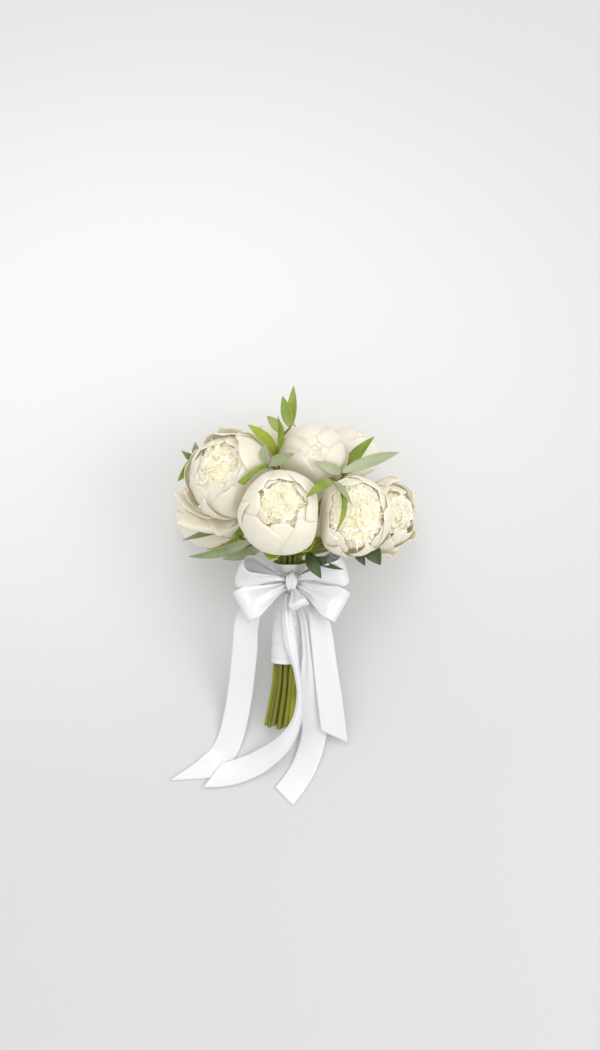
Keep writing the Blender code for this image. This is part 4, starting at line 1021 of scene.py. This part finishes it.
# Each tail: points in the picture, from the bunch's cut ends, with height over the floor and half width,
# and then how far its cut end slants.
TAILS = {
    "left": (
        [(-9, 150, 86.5, 3), (-30, 140, 82.6, 8), (-46, 120, 73, 13), (-50, 83, 51, 14),
         (-54, 46, 28, 14), (-60, 9, 10, 14), (-70, -24, 1.3, 14), (-87, -44, 1.3, 14),
         (-108, -60, 1.3, 14)], 22.0),
    "front": (
        [(-3, 147, 87.2, 3), (-3, 120, 80.7, 6), (1, 91, 71.4, 6.5), (7, 64, 62, 3.5), (11, 37, 53, 3.5),
         (8, 9, 42, 5), (-6, -18, 26, 9), (-33, -40, 8, 13), (-62, -52, 2.9, 14),
         (-86, -55, 2.9, 14)], -12.0),
    "middle": (
        [(6, 146, 85.6, 3), (15, 118, 75.6, 4), (19, 83, 61, 5), (21, 46, 44, 10), (26, 9, 22, 14),
         (25, -18, 6, 14), (12, -53, 1.3, 14), (-7, -79, 1.3, 14)], -2.0),
    "right": (
        [(12, 149, 82.5, 3), (27, 137, 82.1, 9), (34, 105, 72.6, 12), (39, 64, 54.1, 13),
         (44, 27, 36, 14), (49, -13, 13, 14)], -10.0),
}
PICTURE_LEAN = LIE_TILT - math.radians(10.0)


def loop_grid(start, out, through, length, height, half, draw):
    """A bow's loop: out from the knot, round and back, gathered into folds at both ends."""
    out, through = Vector(out).normalized(), Vector(through)
    through = (through - out * through.dot(out)).normalized()
    across = through.cross(out)
    if across.z > 0:
        across = -across
    v, u = np.meshgrid(np.linspace(0, 1, 70), np.linspace(-1, 1, 19), indexing="ij")
    reach = length * np.sin(math.pi * v).clip(0) ** 0.75
    gap = 0.5 * height * np.sin(math.tau * v) * (0.35 + 0.65 * np.sin(math.pi * v))
    broad = half * (0.26 + 1.06 * np.minimum(1.0, np.sin(math.pi * v) * 1.5) ** 0.9)
    gather = np.clip(1 - np.sin(math.pi * v) * 0.97, 0, 1)
    phase = draw.uniform(0, 6)
    folds = 1.9 * gather * np.sin(4.6 * u + phase)
    folds = folds + 1.5 * np.sin(3.0 * u + 2.5 * v + phase) * np.sin(math.pi * v)
    lift = gap + 1.6 * np.cos(math.pi * v) + 0.8 * (1 - u * u) + folds
    return (
        np.array(start) + reach[..., None] * np.array(out) + lift[..., None] * np.array(across)
        + (u * broad)[..., None] * np.array(through)
    )


def seen(x, up, height):
    """A point of the bouquet's frame from its place in the picture and its height over the floor."""
    drop = height - CUT_END[2]
    away = (up - drop * math.sin(PICTURE_LEAN)) / math.cos(PICTURE_LEAN)
    return Matrix.Rotation(-LIE_TILT, 3, "X") @ Vector((x, away, drop))


def tail_grid(points, skew, draw):
    """A ribbon's tail: gathered at the knot, flat further down, and cut off at a slant."""
    path = smooth_path([seen(*p[:3]) for p in points], round(1.7 * len(points)))
    path = smooth_path(path, 90)
    upright = Vector((0, math.sin(LIE_TILT), math.cos(LIE_TILT)))
    rows = []
    places = np.linspace(-1, 1, 17)
    phase = draw.uniform(0, 6)
    for k, spot in enumerate(path):
        t = k / (len(path) - 1)
        ahead = (path[min(k + 1, len(path) - 1)] - path[max(k - 1, 0)]).normalized()
        side = ahead.cross(upright).normalized()
        over = side.cross(ahead)
        at = t * (len(points) - 1)
        low = min(int(at), len(points) - 2)
        half = points[low][3] + (points[low + 1][3] - points[low][3]) * (at - low)
        slant = skew * max(0.0, t - 0.7) / 0.3
        gather = max(0.0, 1 - half / TAIL_HALF)
        row = []
        for u in places:
            fold = 2.5 * gather * (0.35 + math.sin(3.8 * u + phase))
            fold += 0.25 * math.sin(2.5 * u + 9 * t + phase)
            row.append(tuple(spot + side * (u * half) + ahead * (slant * u) + over * fold))
        rows.append(row)
    return np.array(rows)


def ribbon_piece(name, node, grid):
    """A strip of satin as a thin sheet of cloth, which takes its CAD node's place."""
    strip = grids_mesh(name, [grid], SATIN_THICK)
    strip.data.materials.append(satin)
    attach(strip, "root")
    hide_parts(node)


for name, facts in LOOPS.items():
    grid = loop_grid(*facts, random.Random("loop " + name))
    width = 1.05 * 2 * facts[5] * MM
    ribbon_piece("satin_loop_" + name, "bow_loop_" + name, grid)
for name, (points, skew) in TAILS.items():
    grid = tail_grid(points, skew, random.Random("tail " + name))
    ribbon_piece("satin_tail_" + name, "ribbon_tail_" + name, grid)

# The knot is a short turn of the same ribbon, drawn tight round the loops, with folds along it.
bpy.ops.mesh.primitive_uv_sphere_add(segments=64, ring_count=40, radius=1.0)
knot = bpy.context.object
way = np.array([tuple(v.co) for v in knot.data.vertices])
folds = 0.10 * np.sin(6 * way[:, 0] + 1.2 * way[:, 1]) + 0.05 * np.sin(13 * way[:, 0] - 2.0 * way[:, 1])
square = np.sign(way) * np.abs(way) ** 0.8
local = square * np.array(KNOT_SIZE) * KNOT_STRETCH * (1 + folds)[:, None] + np.array(KNOT_CENTRE)
knot.data.vertices.foreach_set("co", laid(local).astype(np.float32).reshape(-1))
knot.data.uv_layers[0].name = "blade"
knot.data.shade_smooth()
knot.data.materials.append(satin)
knot.name = "satin_knot"
knot.select_set(False)
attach(knot, "root")
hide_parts("bow_knot")
